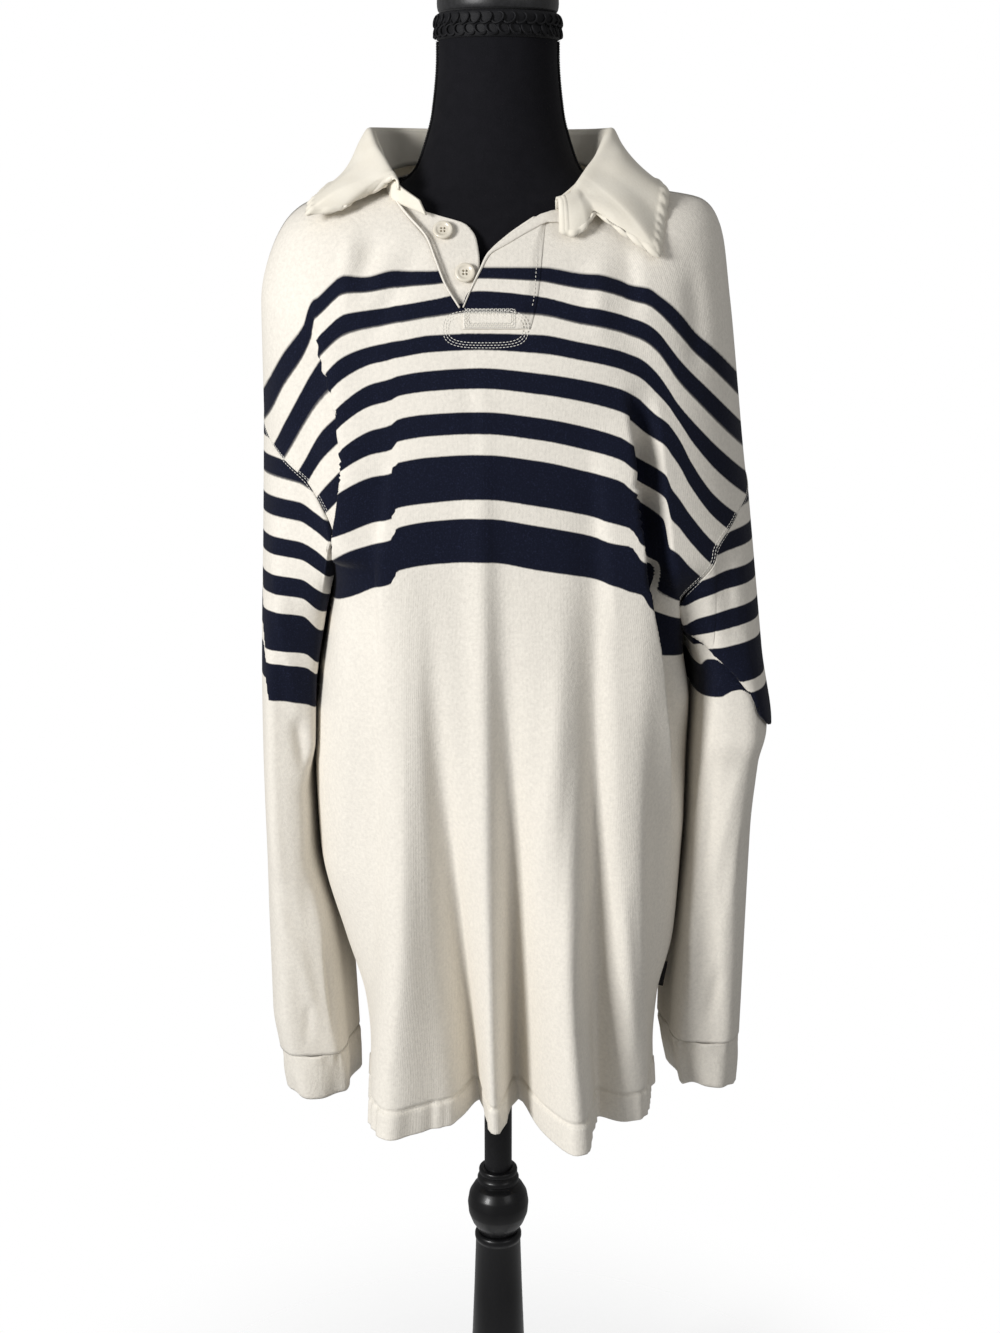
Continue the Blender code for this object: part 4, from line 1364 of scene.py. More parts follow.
# the power of the sleeves' superellipse, and how many flutes a sleeve and a cuff have
SLEEVE_SQUARE, SLEEVE_WAVES, CUFF_WAVES = 2.8, 5, 4


def tube_point(table: Sequence[Tube], side: Side, turn: Array, z: Array, waves: int) -> Array:
    """Points on a sleeve's or cuff's ring; turn 0 is outside, a quarter is the front.

    Args:
        table: the rings.
        side: which arm.
        turn: how far round.
        z: heights.
        waves: how many flutes it has.

    Returns:
        The points.
    """
    outer, inner, front, back, wave = (
        read(table, "z", name, z) for name in ("outer", "inner", "front", "back", "wave")
    )
    angle = 2 * math.pi * turn
    away, ahead = np.cos(angle), np.sin(angle)
    flute = 1 + wave * np.cos(waves * angle + 0.6) / ((outer - inner) / 2)
    x = (outer + inner) / 2 + (outer - inner) / 2 * power(away, 2 / SLEEVE_SQUARE)
    depth = np.where(ahead > 0, front, back)
    y = -depth * power(ahead, 2 / SLEEVE_SQUARE) * (0.5 + 0.5 * flute)
    tuck = 0.026 * np.maximum(-ahead, 0)
    if side is Side.RIGHT:
        tuck = tuck + 0.030 * np.maximum(ahead, 0) ** 2 * ease(0.845, 0.90, z)
    x = x - tuck * np.maximum(-away, 0)
    return np.stack(np.broadcast_arrays(side.value * x, y, z), axis=-1)


@dataclass
class Sleeve:
    """A long sleeve, set into a dropped shoulder."""

    side: Side
    rings: tuple[Tube, ...]
    chart: Chart
    front_creases: tuple[Crease, ...]
    back_creases: tuple[Crease, ...]
    spacing: float = 0.0036
    wall: float = 0.0015
    flap: tuple[FrontPoint, ...] = ()
    flap_half: float = 0.017
    flap_lift: float = 0.0021
    pleat_spacing: float = 0.0030
    slip: tuple[FrontPoint, ...] = ()
    slip_depth: float = 0.0205
    pleat_blend: float = 0.0015
    pleat_slip: float = 0.0065

    @property
    def middle(self) -> float:
        """The place across of the arm's middle."""
        return self.side.value * ARM_MIDDLE

    def thickness(self, points: Array) -> Array:
        """The wall's thickness at each point."""
        return np.full(points.shape[:-1], self.wall)

    def panel(self, loop: Array, turns: Array) -> Panel:
        """The sleeve's grid, from the armhole down to the cuff seam.

        Args:
            loop: the armhole's points.
            turns: how far round the sleeve each one is.

        Returns:
            The panel, without its creases.
        """
        top = max(row.z for row in self.rings)
        low = min(row.z for row in self.rings)
        first = tube_point(self.rings, self.side, turns, np.full_like(turns, top), SLEEVE_WAVES)
        drop = np.linalg.norm(loop - first, axis=1).max()
        count = math.ceil(drop / self.spacing)
        shares = np.arange(count) / count
        upper = mix(loop[None], first[None], shares[:, None, None])
        heights = np.linspace(top, low, math.ceil((top - low) / self.spacing) + 1)
        lower = tube_point(
            self.rings, self.side, np.broadcast_to(turns, (len(heights), len(turns))),
            heights[:, None] * np.ones_like(turns), SLEEVE_WAVES,
        )
        points = np.concatenate((upper, lower))
        for _ in range(10):
            smooth = (points[:-2] + points[2:]) / 2
            near = np.clip(1 - np.abs(np.arange(1, len(points) - 1) - count) / 9, 0, 1)
            points[1:-1] = mix(points[1:-1], smooth, near[:, None, None])
        return Panel(points, True, self.side.value)

    def creased(self, points: Array, normals: Array) -> Array:
        """The points with the sleeve's creases in them, none at the armhole.

        Args:
            points: the sleeve's points.
            normals: their normals.

        Returns:
            The moved points.
        """
        x, z, ahead = np.abs(points[..., 0]), points[..., 2], -normals[..., 1]
        height = crease_height(self.front_creases, x, z) * ease(-0.1, 0.35, ahead)
        height += crease_height(self.back_creases, x, z) * ease(-0.1, 0.35, -ahead)
        rows = np.arange(len(points))
        held = ease(0, 5, rows) * ease(len(points) - 1, len(points) - 5, rows)
        return points + normals * (height * held[:, None])[..., None]

    def stripe_place(self, points: Array) -> Array:
        """Each point's place in the stripes.

        Args:
            points: the sleeve's points.

        Returns:
            One place for each point.
        """
        x, z = np.abs(points[..., 0]), points[..., 2]
        place = self.chart.place(x, z)
        if not self.slip:
            return place
        away = x - read_straight(self.slip, "z", "x", z)
        behind = ease(-0.0004, 0.0004, away) * ease(1.08, 1.06, z)
        return place + self.slip_depth * behind * ease(0.055, -0.045, points[..., 1])

    def pleated(self, panel: Panel, normals: Array, turns: Array) -> Panel:
        """The sleeve with a pleat folded into it: down over the flap, back up under it, down.

        Args:
            panel: the smooth sleeve, with its chart.
            normals: its normals.
            turns: how far round the sleeve each column is.

        Returns:
            A panel with more rows, whose rows go down, up and down again at the pleat.
        """
        length = arc_length(panel.points)
        count = math.ceil((length[-1].max() + 2 * self.flap_half) / self.pleat_spacing)
        rows = np.linspace(0, 1, count + 1)
        made, mapped = [], []
        for arc, points, facing, chart, turn in zip(
            length.T, *(grid.transpose(1, 0, 2) for grid in (panel.points, normals, panel.chart)), turns
        ):
            under = points[:, 2] - read_straight(self.flap, "x", "z", np.abs(points[:, 0]))
            crossing = int(np.argmax(under < 0))
            above, below = under[crossing - 1], under[crossing]
            at = mix(arc[crossing - 1], arc[crossing], above / (above - below))
            turn = (turn + 0.5) % 1 - 0.5
            turn = turn + 1 if turn < -0.30 else turn
            share = float(ease(-0.20, -0.05, turn) * (1 - ease(0.50, 0.64, turn)))
            half = self.flap_half * share
            run = rows * (arc[-1] + 2 * half)
            down = np.where(run < at, run, np.where(run < at + half, 2 * at - run, run - 2 * half))
            down[1:-1] = np.convolve(down, np.ones(3) / 3, mode="valid")
            blend = self.pleat_blend
            top, bottom = (ease(to - blend, to + blend, run) for to in (at, at + half))
            lift = self.flap_lift * share * (2 - top - bottom) * ease(at - 0.075, at - 0.004, run)
            made.append(at_length(down, arc, points) + unit(at_length(down, arc, facing)) * lift[:, None])
            mapped.append(at_length(down, arc, chart))
            before, after, there = (
                np.interp(place, arc, chart[:, 2])
                for place in (np.minimum(run, at), np.maximum(run - 2 * half, at), at)
            )
            hidden = np.interp(run, (at, at + 2 * half + 1e-6), (0, 2 * half))
            beneath = run - at - 2 * half
            more = self.pleat_slip * share * ease(-0.001, 0.001, beneath) * (1 - ease(0.012, 0.034, beneath))
            mapped[-1][:, 2] = before + hidden + after - there + more
        return Panel(np.stack(made, axis=1), True, panel.facing, np.stack(mapped, axis=1))


@dataclass
class Cuff:
    """A turned-up cuff of double jersey with a wavy edge."""

    side: Side
    rings: tuple[Tube, ...]
    edge_wave: tuple[float, ...]
    wall: float = 0.0026
    pucker: Ripple = Ripple(0.0010, 1 / (2 * math.pi * 17), 2, 1 / 14)
    waves: int = 5
    wave_height: float = 0.0012
    rounding: float = 0.0014
    columns: int = 72
    rows: int = 16

    def panel(self) -> Panel:
        """The cuff's grid, from its seam to its edge.

        Returns:
            The panel, without its puckers.
        """
        top, low = max(r.z for r in self.rings), min(r.z for r in self.rings)
        turns = np.arange(self.columns) / self.columns
        shares = np.linspace(0, 1, self.rows + 1)
        heights = mix(top, low, shares)[:, None] * np.ones_like(turns)
        points = tube_point(
            self.rings, self.side, np.broadcast_to(turns, heights.shape), heights, CUFF_WAVES)
        wave = sum(
            size * np.sin(2 * math.pi * (k + 1) * turns + 1.3 * k)
            for k, size in enumerate(self.edge_wave)
        )
        points[..., 2] += wave * (shares[:, None] ** 2)
        return Panel(points, True, self.side.value)

    def creased(self, points: Array, normals: Array) -> Array:
        """Puckers below the seam and a rounded lower edge.

        Args:
            points: the cuff's points.
            normals: their normals.

        Returns:
            The moved points.
        """
        shares = np.linspace(0, 1, len(points))[:, None]
        turns = np.arange(points.shape[1])[None] / points.shape[1]
        gathered = bell(shares - 0.06, 0.16) * (1 - np.exp(-shares / 0.02))
        soft = self.wave_height * np.sin(2 * math.pi * self.waves * turns + 0.8) * shares
        tuck = -self.rounding * ease(0.94, 1.0, shares)
        return points + normals * (self.pucker.at(turns) * gathered + soft + tuck)[..., None]


# ---- collar

class Station(NamedTuple):
    """A place along the collar's stand: its foot and its top, where the cloth rolls over."""

    foot_x: float
    foot_y: float
    foot_z: float
    roll_x: float
    roll_y: float
    roll_z: float


class LeafStation(NamedTuple):
    """A place along the collar's leaf: its roll line, its edge, and how it falls between them.

    out and down are how much of the way the leaf has gone at the crown of its fall.
    """

    roll_x: float
    roll_y: float
    roll_z: float
    edge_x: float
    edge_y: float
    edge_z: float
    out: float = 0.42
    down: float = 0.50


@dataclass
class Collar:
    """A twill collar: a stand round the neck, and a leaf rolled over it, with a tab at its end."""

    stations: tuple[Station, ...] = listed(Station,
        (-60, -73, 1356, -65.5, -70, 1368), (-89.5, -50, 1369.5, -87, -56, 1384),
        (-95, -29, 1379, -99, -32, 1408), (-100.5, 2, 1386, -106.5, 0, 1424),
        (-76, 46, 1396, -85, 56, 1425), (0, 67, 1399.5, 0, 81, 1424), (68, 44, 1397, 76, 54, 1424),
        (88.5, 2, 1388, 94, 0, 1424), (83, -32, 1380, 82, -37, 1401), (70, -53.5, 1370.5, 68, -59, 1383),
        (50, -69, 1359, 49, -74, 1367),
    )
    leaf_stations: tuple[LeafStation, ...] = (
        LeafStation(*mm(-85.5, -60, 1383, -95, -50, 1379), 0.5, 0.3),
        LeafStation(*mm(-87, -58, 1386, -120.5, -58, 1367.5), 0.5, 0.3),
        LeafStation(*mm(-88, -56.5, 1388, -137, -64, 1358), 0.5, 0.3),
        LeafStation(*mm(-90, -54, 1390, -159, -66, 1356), 0.5, 0.3),
        LeafStation(*mm(-97, -43, 1401, -158.5, -52, 1364), 0.45, 0.4),
        LeafStation(*mm(-103, -32, 1410, -154, -38, 1368), 0.35, 0.5),
        LeafStation(*mm(-109, 0, 1424, -147, 12, 1376.5), 0.24, 0.56),
        LeafStation(*mm(-87, 58, 1425, -124, 83, 1372)), LeafStation(*mm(0, 83, 1424, 0, 112, 1363)),
        LeafStation(*mm(78, 56, 1424, 114, 84, 1372)),
        LeafStation(*mm(96, 0, 1424, 140, 12, 1379), 0.16, 0.5),
        LeafStation(*mm(84, -38, 1402, 143, -36, 1372), 0.5, 0.16),
        LeafStation(*mm(76, -50, 1392, 138, -64, 1345), 0.5, 0.25),
        LeafStation(*mm(70, -60, 1384, 132.5, -88, 1322), 0.5, 0.3),
        LeafStation(*mm(67, -64, 1380, 107.5, -82, 1337.5), 0.5, 0.35),
        LeafStation(*mm(64, -67.5, 1375.5, 81.5, -73.5, 1356), 0.5, 0.4),
        LeafStation(*mm(61, -70.5, 1372, 71.5, -82, 1344.5), 0.6, 0.3),
        LeafStation(*mm(55.5, -73.5, 1369.5, 61, -85, 1339), 0.6, 0.3),
        LeafStation(*mm(48.5, -75.5, 1367.5, 50, -83.5, 1342.5), 0.6, 0.3),
    )
    stand_wall: float = 0.0024
    leaf_wall: float = 0.0018
    leaf_groove: float = 0.0010
    leaf_groove_at: float = 0.0058
    leaf_pucker: Ripple = Ripple(0.00075, 0.0011, 1.6, 0.012)
    samples: int = 480
    stand_rows: int = 8
    leaf_rows: int = 10
    roll_over: tuple[tuple[float, float], ...] = (
        mm(-2.6, -7.0), mm(-2.8, -2.2), mm(-1.4, 1.2), mm(1.8, 1.8),
    )

    def lines(self, stations: Sequence[NamedTuple], *names: str) -> Array:
        """A smooth line through some named sizes of the stations.

        Args:
            stations: the stations.
            names: the columns that are read.

        Returns:
            One row of sizes for each sample.
        """
        at = np.linspace(0, len(stations) - 1, self.samples)
        columns = ([getattr(row, name) for row in stations] for name in names)
        return np.stack([monotone(range(len(stations)), values, at) for values in columns], axis=-1)

    @staticmethod
    def softened(lines: Array, times: int) -> Array:
        """Lines of points with their corners cut off, some times over.

        Args:
            lines: lines x points x 3.
            times: how often.

        Returns:
            The lines, with more points.
        """
        for _ in range(times):
            a, b = lines[:, :-1], lines[:, 1:]
            inner = np.stack((mix(a, b, 0.25), mix(a, b, 0.75)), axis=2)
            inner = inner.reshape(len(lines), -1, 3)
            lines = np.concatenate((lines[:, :1], inner[:, 1:-1], lines[:, -1:]), axis=1)
        return lines

    @staticmethod
    def charted(points: Array) -> Array:
        """The distance along and across a grid of points, in metres.

        Args:
            points: rows x columns x 3.

        Returns:
            The panel's chart, without stripes.
        """
        u = arc_length(points).mean(axis=1)[:, None] * np.ones(points.shape[1])
        v = arc_length(points.transpose(1, 0, 2)).mean(axis=1) * np.ones((len(points), 1))
        return np.stack((u, v, 0 * u), axis=-1)

    def stand(self) -> Panel:
        """The stand's outer side, from its foot to just under the roll line.

        Returns:
            The panel.
        """
        foot = self.lines(self.stations, "foot_x", "foot_y", "foot_z")[:, None]
        roll = self.lines(self.stations, "roll_x", "roll_y", "roll_z")[:, None]
        points = mix(foot, roll, np.linspace(0, 1, self.stand_rows + 1)[:, None])
        return Panel(points, False, 1, self.charted(points))

    def leaf(self) -> Panel:
        """The leaf's upper side: up inside the stand's top, over the roll and down to the edge.

        Returns:
            The panel, without its puckers.
        """
        stations = self.leaf_stations
        roll = self.lines(stations, "roll_x", "roll_y", "roll_z")
        edge = self.lines(stations, "edge_x", "edge_y", "edge_z")
        bulge = self.lines(stations, "out", "down")
        out, up = (edge - roll) * (1, 1, 0), np.array((0, 0, 1.0))
        reach = unit(out)
        start = roll + reach * 0.0034 + up * 0.0008
        crown = start + out * bulge[:, :1] + up * (edge - start)[:, 2:] * bulge[:, 1:]
        t = np.linspace(0, 1, self.leaf_rows + 1)[1:, None, None]
        fall = (1 - t) ** 2 * start + 2 * t * (1 - t) * crown + t * t * edge
        over = [roll + reach * aside + up * rise for aside, rise in self.roll_over]
        lines = np.concatenate((np.stack(over), fall)).transpose(1, 0, 2)
        points = self.softened(lines, 2)
        return Panel(points, False, 1, self.charted(points))

    def creased(self, panel: Panel, normals: Array) -> Array:
        """The leaf's stitched edge, puckered, and its soft dents.

        Args:
            panel: the leaf.
            normals: its normals.

        Returns:
            The moved points.
        """
        points, chart = panel.points, panel.chart
        along, across = chart[..., 0], chart[..., 1]
        width = chart[-1, -1, 1]
        ends = np.minimum(along, chart[-1, 0, 0] - along)
        rim = np.minimum(width - across, np.where(across > 0.012, ends, 1))
        stitched = -self.leaf_groove * bell(rim - self.leaf_groove_at, 0.0013)
        pucker = self.leaf_pucker.at(along) * bell(rim - 0.003, 0.0035) * ease(0.008, 0.02, across)
        dent = 0.0016 * np.sin(along / 0.021 + 0.6) * np.sin(across / 0.0105) * ease(0.012, 0.03, across)
        return points + normals * (stitched + pucker + dent)[..., None]


# ---- the neck opening

class Band(NamedTuple):
    """The two edges of a band of the neck opening, at one height."""

    z: float
    start: float
    end: float


@dataclass
class Placket:
    """The bands of the neck opening and what is sewn on them."""

    body: ShirtBody
    button_band: tuple[Band, ...] = listed(Band,
        (1374, -91, -86), (1369, -88, -79), (1362, -84, -65), (1357.5, -80, -50), (1350, -66, -26),
        (1338, -60, -17.5), (1320, -53.5, -15), (1302, -46, -17), (1286, -37, -26),
    )
    top_band: tuple[Band, ...] = listed(Band,
        (1354, 29, 40), (1340, 8, 38.5), (1325, -8.5, 37), (1305, -18, 35), (1285, -28, 32),
        (1266, -28.5, 27),
    )
    band_wall: float = 0.0016
    top_lift: float = 0.0019
    box_left: float = -0.0272
    box_right: float = 0.0140
    box_low: float = 1.2672
    box_high: float = 1.2815
    oval_x: float = -0.0100
    oval_z: float = 1.2662
    oval_width: float = 0.0345
    oval_height: float = 0.0148
    side_line: tuple[tuple[float, float], ...] = (
        mm(33.5, 1350), mm(32.2, 1320), mm(29.5, 1290), mm(27.5, 1281),
    )

    def surface(self, x: Array, z: Array) -> tuple[Array, Array]:
        """The front's outer side at places seen from the front.

        Args:
            x: how far to the wearer's left.
            z: heights.

        Returns:
            The points and their outward normals.
        """
        def at(across: Array, height: Array) -> Array:
            """The point at one place across and one height."""
            def above(level: Array) -> Array:
                """Where the front at a level is above the height."""
                return self.body.base(across, level, Facing.FRONT)[..., 2] > height

            return self.body.base(across, last_where(above, CROTCH, across), Facing.FRONT)

        step = 0.002
        normals = unit(np.cross(at(x + step, z) - at(x - step, z), at(x, z + step) - at(x, z - step)))
        points = at(x, z)
        return self.body.creased(points, normals), normals

    def band(self, table: Sequence[Band], lift: float, rows: int, columns: int) -> Laid:
        """A band laid on the front's outer side.

        Args:
            table: its edges.
            lift: how far its outer side stands off the front's.
            rows: how many down.
            columns: how many across.

        Returns:
            The panel and its normals.
        """
        z = np.linspace(table[0].z, table[-1].z, rows + 1)[:, None] * np.ones(columns + 1)
        start, end = read(table, "z", "start", z), read(table, "z", "end", z)
        x = mix(start, end, np.linspace(0, 1, columns + 1))
        points, normals = self.surface(x, z)
        share = np.linspace(0, 1, columns + 1)
        lie = lift * (1 - 0.93 * ease(0.80, 1.0, share)) if lift > 0 else lift + 0 * share
        points = points + normals * lie[:, None]
        place = self.body.stripe_place(points)
        return Panel(points, False, -1, np.stack((x, -z, place), axis=-1)), normals


# ---- pieces made by hand

def select(obj: Piece | None = None) -> None:
    """Leaves nothing selected but this piece, if any, and makes it the active one.

    Args:
        obj: the piece.
    """
    for thing in bpy.context.selected_objects:
        thing.select_set(False)
    if obj:
        obj.select_set(True)
        bpy.context.view_layer.objects.active = obj


@contextmanager
def editing(obj: Piece) -> Iterator[None]:
    """Edit mode on one piece, all of it selected.

    Args:
        obj: the piece.
    """
    select(obj)
    bpy.ops.object.mode_set(mode="EDIT")
    bpy.ops.mesh.select_all(action="SELECT")
    yield
    bpy.ops.object.mode_set(mode="OBJECT")


def settle(obj: Piece, name: str, material: Finish) -> Piece:
    """Names a hand-made piece, puts its place into its mesh and gives it its finish.

    Args:
        obj: the piece.
        name: its name.
        material: its finish.

    Returns:
        The same object.
    """
    select(obj)
    bpy.ops.object.transform_apply(location=True, rotation=True, scale=True)
    obj.name = obj.data.name = name
    obj.data.materials.clear()
    obj.data.materials.append(material)
    return obj


class Ring(NamedTuple):
    """A ring of a lofted piece: its height, half width, and depths in front and behind."""

    z: float
    side: float
    front: float
    back: float


def loft(
    name: str, rings: Sequence[Ring], segments: int, material: Finish,
    angle: float = 40.0, bored: bool = False,
) -> Piece:
    """A circle extruded and resized ring by ring round the pole's axis, and then closed.

    Args:
        name: the piece's name.
        rings: its rings, in order.
        segments: corners of each ring.
        material: its finish.
        angle: edges sharper than this stay sharp, in degrees.
        bored: joins its last ring to its first as a bore, in place of closing each.

    Returns:
        The new object.
    """
    select()
    y, z, width, depth = POLE_Y + (rings[0].back - rings[0].front) / 2, rings[0].z, 1.0, 1.0
    bpy.ops.mesh.primitive_circle_add(vertices=segments, radius=1, fill_type="NOTHING", location=(0, y, z))
    obj = bpy.context.object
    with editing(obj):
        for k, ring in enumerate(rings):
            middle, half = POLE_Y + (ring.back - ring.front) / 2, (ring.front + ring.back) / 2
            if k:
                bpy.ops.mesh.extrude_region_move(
                    TRANSFORM_OT_translate={"value": (0, middle - y, ring.z - z)})
            bpy.ops.transform.resize(
                value=(ring.side / width, half / depth, 1), center_override=(0, middle, ring.z))
            width, depth, y, z = ring.side, half, middle, ring.z
        if bored:
            bpy.ops.mesh.select_all(action="DESELECT")
            bpy.ops.mesh.select_non_manifold()
            bpy.ops.mesh.bridge_edge_loops()
        bpy.ops.mesh.select_all(action="SELECT")
        bpy.ops.mesh.fill_holes(sides=0)
        bpy.ops.mesh.normals_make_consistent(inside=False)
    bpy.ops.object.shade_smooth_by_angle(angle=math.radians(angle))
    return settle(obj, name, material)


class Turn(NamedTuple):
    """A corner of a turned profile."""

    radius: float
    z: float


def turned_rings(profile: Sequence[Turn], fillet: float = 0.0007) -> list[Ring]:
    """A turned profile of (radius, height) as rings, its corners eased a little.

    Args:
        profile: the profile's corners.
        fillet: how far each corner is cut back.

    Returns:
        The rings.
    """
    points = [np.array(p) for p in profile]
    eased = [points[0]]
    for before, here, after in zip(points, points[1:], points[2:]):
        for other in (before, after):
            gap = np.linalg.norm(other - here)
            eased.append(here + (other - here) * min(0.3, fillet / gap))
    eased.append(points[-1])
    return [Ring(float(z), float(r), float(r), float(r)) for r, z in eased]


def copied(name: str, shape: Mesh, places: Sequence[Matrix], material: Finish) -> Piece:
    """One mesh that holds a copy of a shape at each place.

    Args:
        name: the piece's name.
        shape: the mesh to copy, modelled once.
        places: where each copy goes, measured from the pole's axis.
        material: its finish.

    Returns:
        The new object.
    """
    points = np.array([vertex.co[:] for vertex in shape.vertices])
    faces = [list(polygon.vertices) for polygon in shape.polygons]
    all_points, all_faces = [], []
    for k, place in enumerate(places):
        matrix = np.array(place)
        all_points.append(points @ matrix[:3, :3].T + matrix[:3, 3])
        all_faces += [[k * len(points) + i for i in face] for face in faces]
    return add_object(name, new_mesh(name, np.concatenate(all_points), all_faces), material)


# ---- buttons

@dataclass
class Button:
    """A dished shirt button with a rim and four holes."""

    name: str
    radius: float = 0.0085
    thickness: float = 0.0030
    lift: float = -0.0006
    hole: float = 0.00095
    hole_out: float = 0.0019
    segments: int = 48

    def profile(self) -> list[Turn]:
        """The button's section from the middle of its top to the middle of its underside.

        Returns:
            The corners of the section.
        """
        r, half = self.radius, self.thickness / 2
        return [
            (0.0001, half * 0.25), (r * 0.45, half * 0.28), (r * 0.58, half * 0.45),
            (r * 0.68, half * 0.92), (r * 0.80, half), (r * 0.92, half * 0.86), (r, half * 0.2),
            (r * 0.985, -half * 0.45), (r * 0.86, -half * 0.9), (r * 0.60, -half), (0.0001, -half),
        ]

    def make(self, finish: Finish, frame_at: Matrix) -> Piece:
        """Turns the button and drills its holes.

        Args:
            finish: the resin.
            frame_at: the button's place, its Z axis facing out.

        Returns:
            The finished button.
        """
        made = loft(self.name, turned_rings(self.profile(), 0.0005), self.segments, finish, 50)
        made.data.transform(Matrix.Translation((0, -POLE_Y, 0)))
        for k in range(4):
            angle = math.pi / 4 + k * math.pi / 2
            select()
            bpy.ops.mesh.primitive_cylinder_add(
                vertices=12, radius=self.hole, depth=0.02,
                location=(self.hole_out * math.cos(angle), self.hole_out * math.sin(angle), 0),
            )
            cutter = bpy.context.object
            cut = made.modifiers.new("hole", "BOOLEAN")
            cut.operation, cut.object, cut.solver = "DIFFERENCE", cutter, "EXACT"
            select(made)
            bpy.ops.object.modifier_apply(modifier=cut.name)
            bpy.data.objects.remove(cutter, do_unlink=True)
        made.data.transform(frame_at)
        made.data.transform(Matrix.Translation((0, POLE_Y, 0)))
        return made


# ---- stitches

def stitch_shape(radius: float) -> Mesh:
    """One stitch of unit length along X: a thin capsule of four sides.

    Args:
        radius: the thread's.

    Returns:
        The mesh.
    """
    points, faces = [], []
    for x, share in ((-0.5, 0.35), (-0.3, 1.0), (0.3, 1.0), (0.5, 0.35)):
        for k in range(4):
            angle = math.pi / 2 * k + math.pi / 4
            points.append((x, radius * share * math.cos(angle), radius * share * math.sin(angle)))
    for ring in range(3):
        for k in range(4):
            a, b = ring * 4 + k, ring * 4 + (k + 1) % 4
            faces.append((a, b, b + 4, a + 4))
    faces += [(3, 2, 1, 0), (12, 13, 14, 15)]
    return new_mesh("stitch", points, faces)


@dataclass
class Seam:
    """A line of stitches: the line on the cloth, its normals, and how the stitches lie."""

    points: Array
    normals: Array
    pitch: float = 0.0031
    length: float = 0.0022
    lift: float = 0.00012
    slant: float = 0.0

    def places(self) -> list[Matrix]:
        """Where each stitch lies.

        Returns:
            Each stitch's place and turn.
        """
        kept = ~np.isnan(self.points[:, 0])
        points, normals = self.points[kept], self.normals[kept]
        arc = arc_length(points)
        found = []
        for k in range(int(arc[-1] / self.pitch)):
            middle = (k + 0.5) * self.pitch
            start, end = (at_length(middle + s * self.length / 2, arc, points) for s in (-1, 1))
            run = end - start
            size = np.linalg.norm(run)
            if size < 1e-6:
                continue
            run = run / size
            side = unit(np.cross(unit(at_length(middle, arc, normals)), run))
            if self.slant:
                turn = self.slant if k % 2 else -self.slant
                run, side = (
                    run * math.cos(turn) + side * math.sin(turn),
                    side * math.cos(turn) - run * math.sin(turn),
                )
            out = np.cross(run, side)
            at = (start + end) / 2 + out * self.lift
            rows = np.stack((run * self.length, side, out, at), axis=1)
            found.append(Matrix((*rows.tolist(), (0, 0, 0, 1))))
        return found


def beside(edge: Array, neighbour: Array, distance: float) -> Array:
    """A line beside an edge, towards its neighbouring line of points."""
    return edge + unit(neighbour - edge) * distance


def alongside(
    points: Array, normals: Array, distance: float, across: bool = False, last: bool = True
) -> tuple[Array, Array]:
    """A line over a grid of points at one distance from its first or last row or column.

    Args:
        points: rows x columns x 3.
        normals: the same shape.
        distance: how far from the edge, in metres over the cloth.
        across: measures along the rows, from a column, in place of down the columns.
        last: measures from the last row or column in place of the first.

    Returns:
        The line's points and normals.
    """
    if across:
        points, normals = points.transpose(1, 0, 2), normals.transpose(1, 0, 2)
    if last:
        points, normals = points[::-1], normals[::-1]
    step = np.linalg.norm(np.diff(points, axis=0), axis=2)
    line, facing = [], []
    for column in range(points.shape[1]):
        if np.isnan(points[0, column, 0]):
            continue
        arc = np.concatenate(((0,), np.cumsum(np.nan_to_num(step[:, column], nan=1.0))))
        line.append(at_length(distance, arc, np.nan_to_num(points[:, column])))
        facing.append(at_length(distance, arc, np.nan_to_num(normals[:, column])))
    return np.array(line), np.array(facing)


def sewn(name: str, seams: Sequence[Seam], radius: float, material: Finish) -> Piece:
    """All the stitches of some seams as one piece.

    Args:
        name: the piece's name.
        seams: its lines of stitches.
        radius: the thread's.
        material: its finish.

    Returns:
        The new object.
    """
    places = [place for seam in seams for place in seam.places()]
    LOG.info("%s: %d stitches", name, len(places))
    return copied(name, stitch_shape(radius), places, material)


# ---- the form and its stand

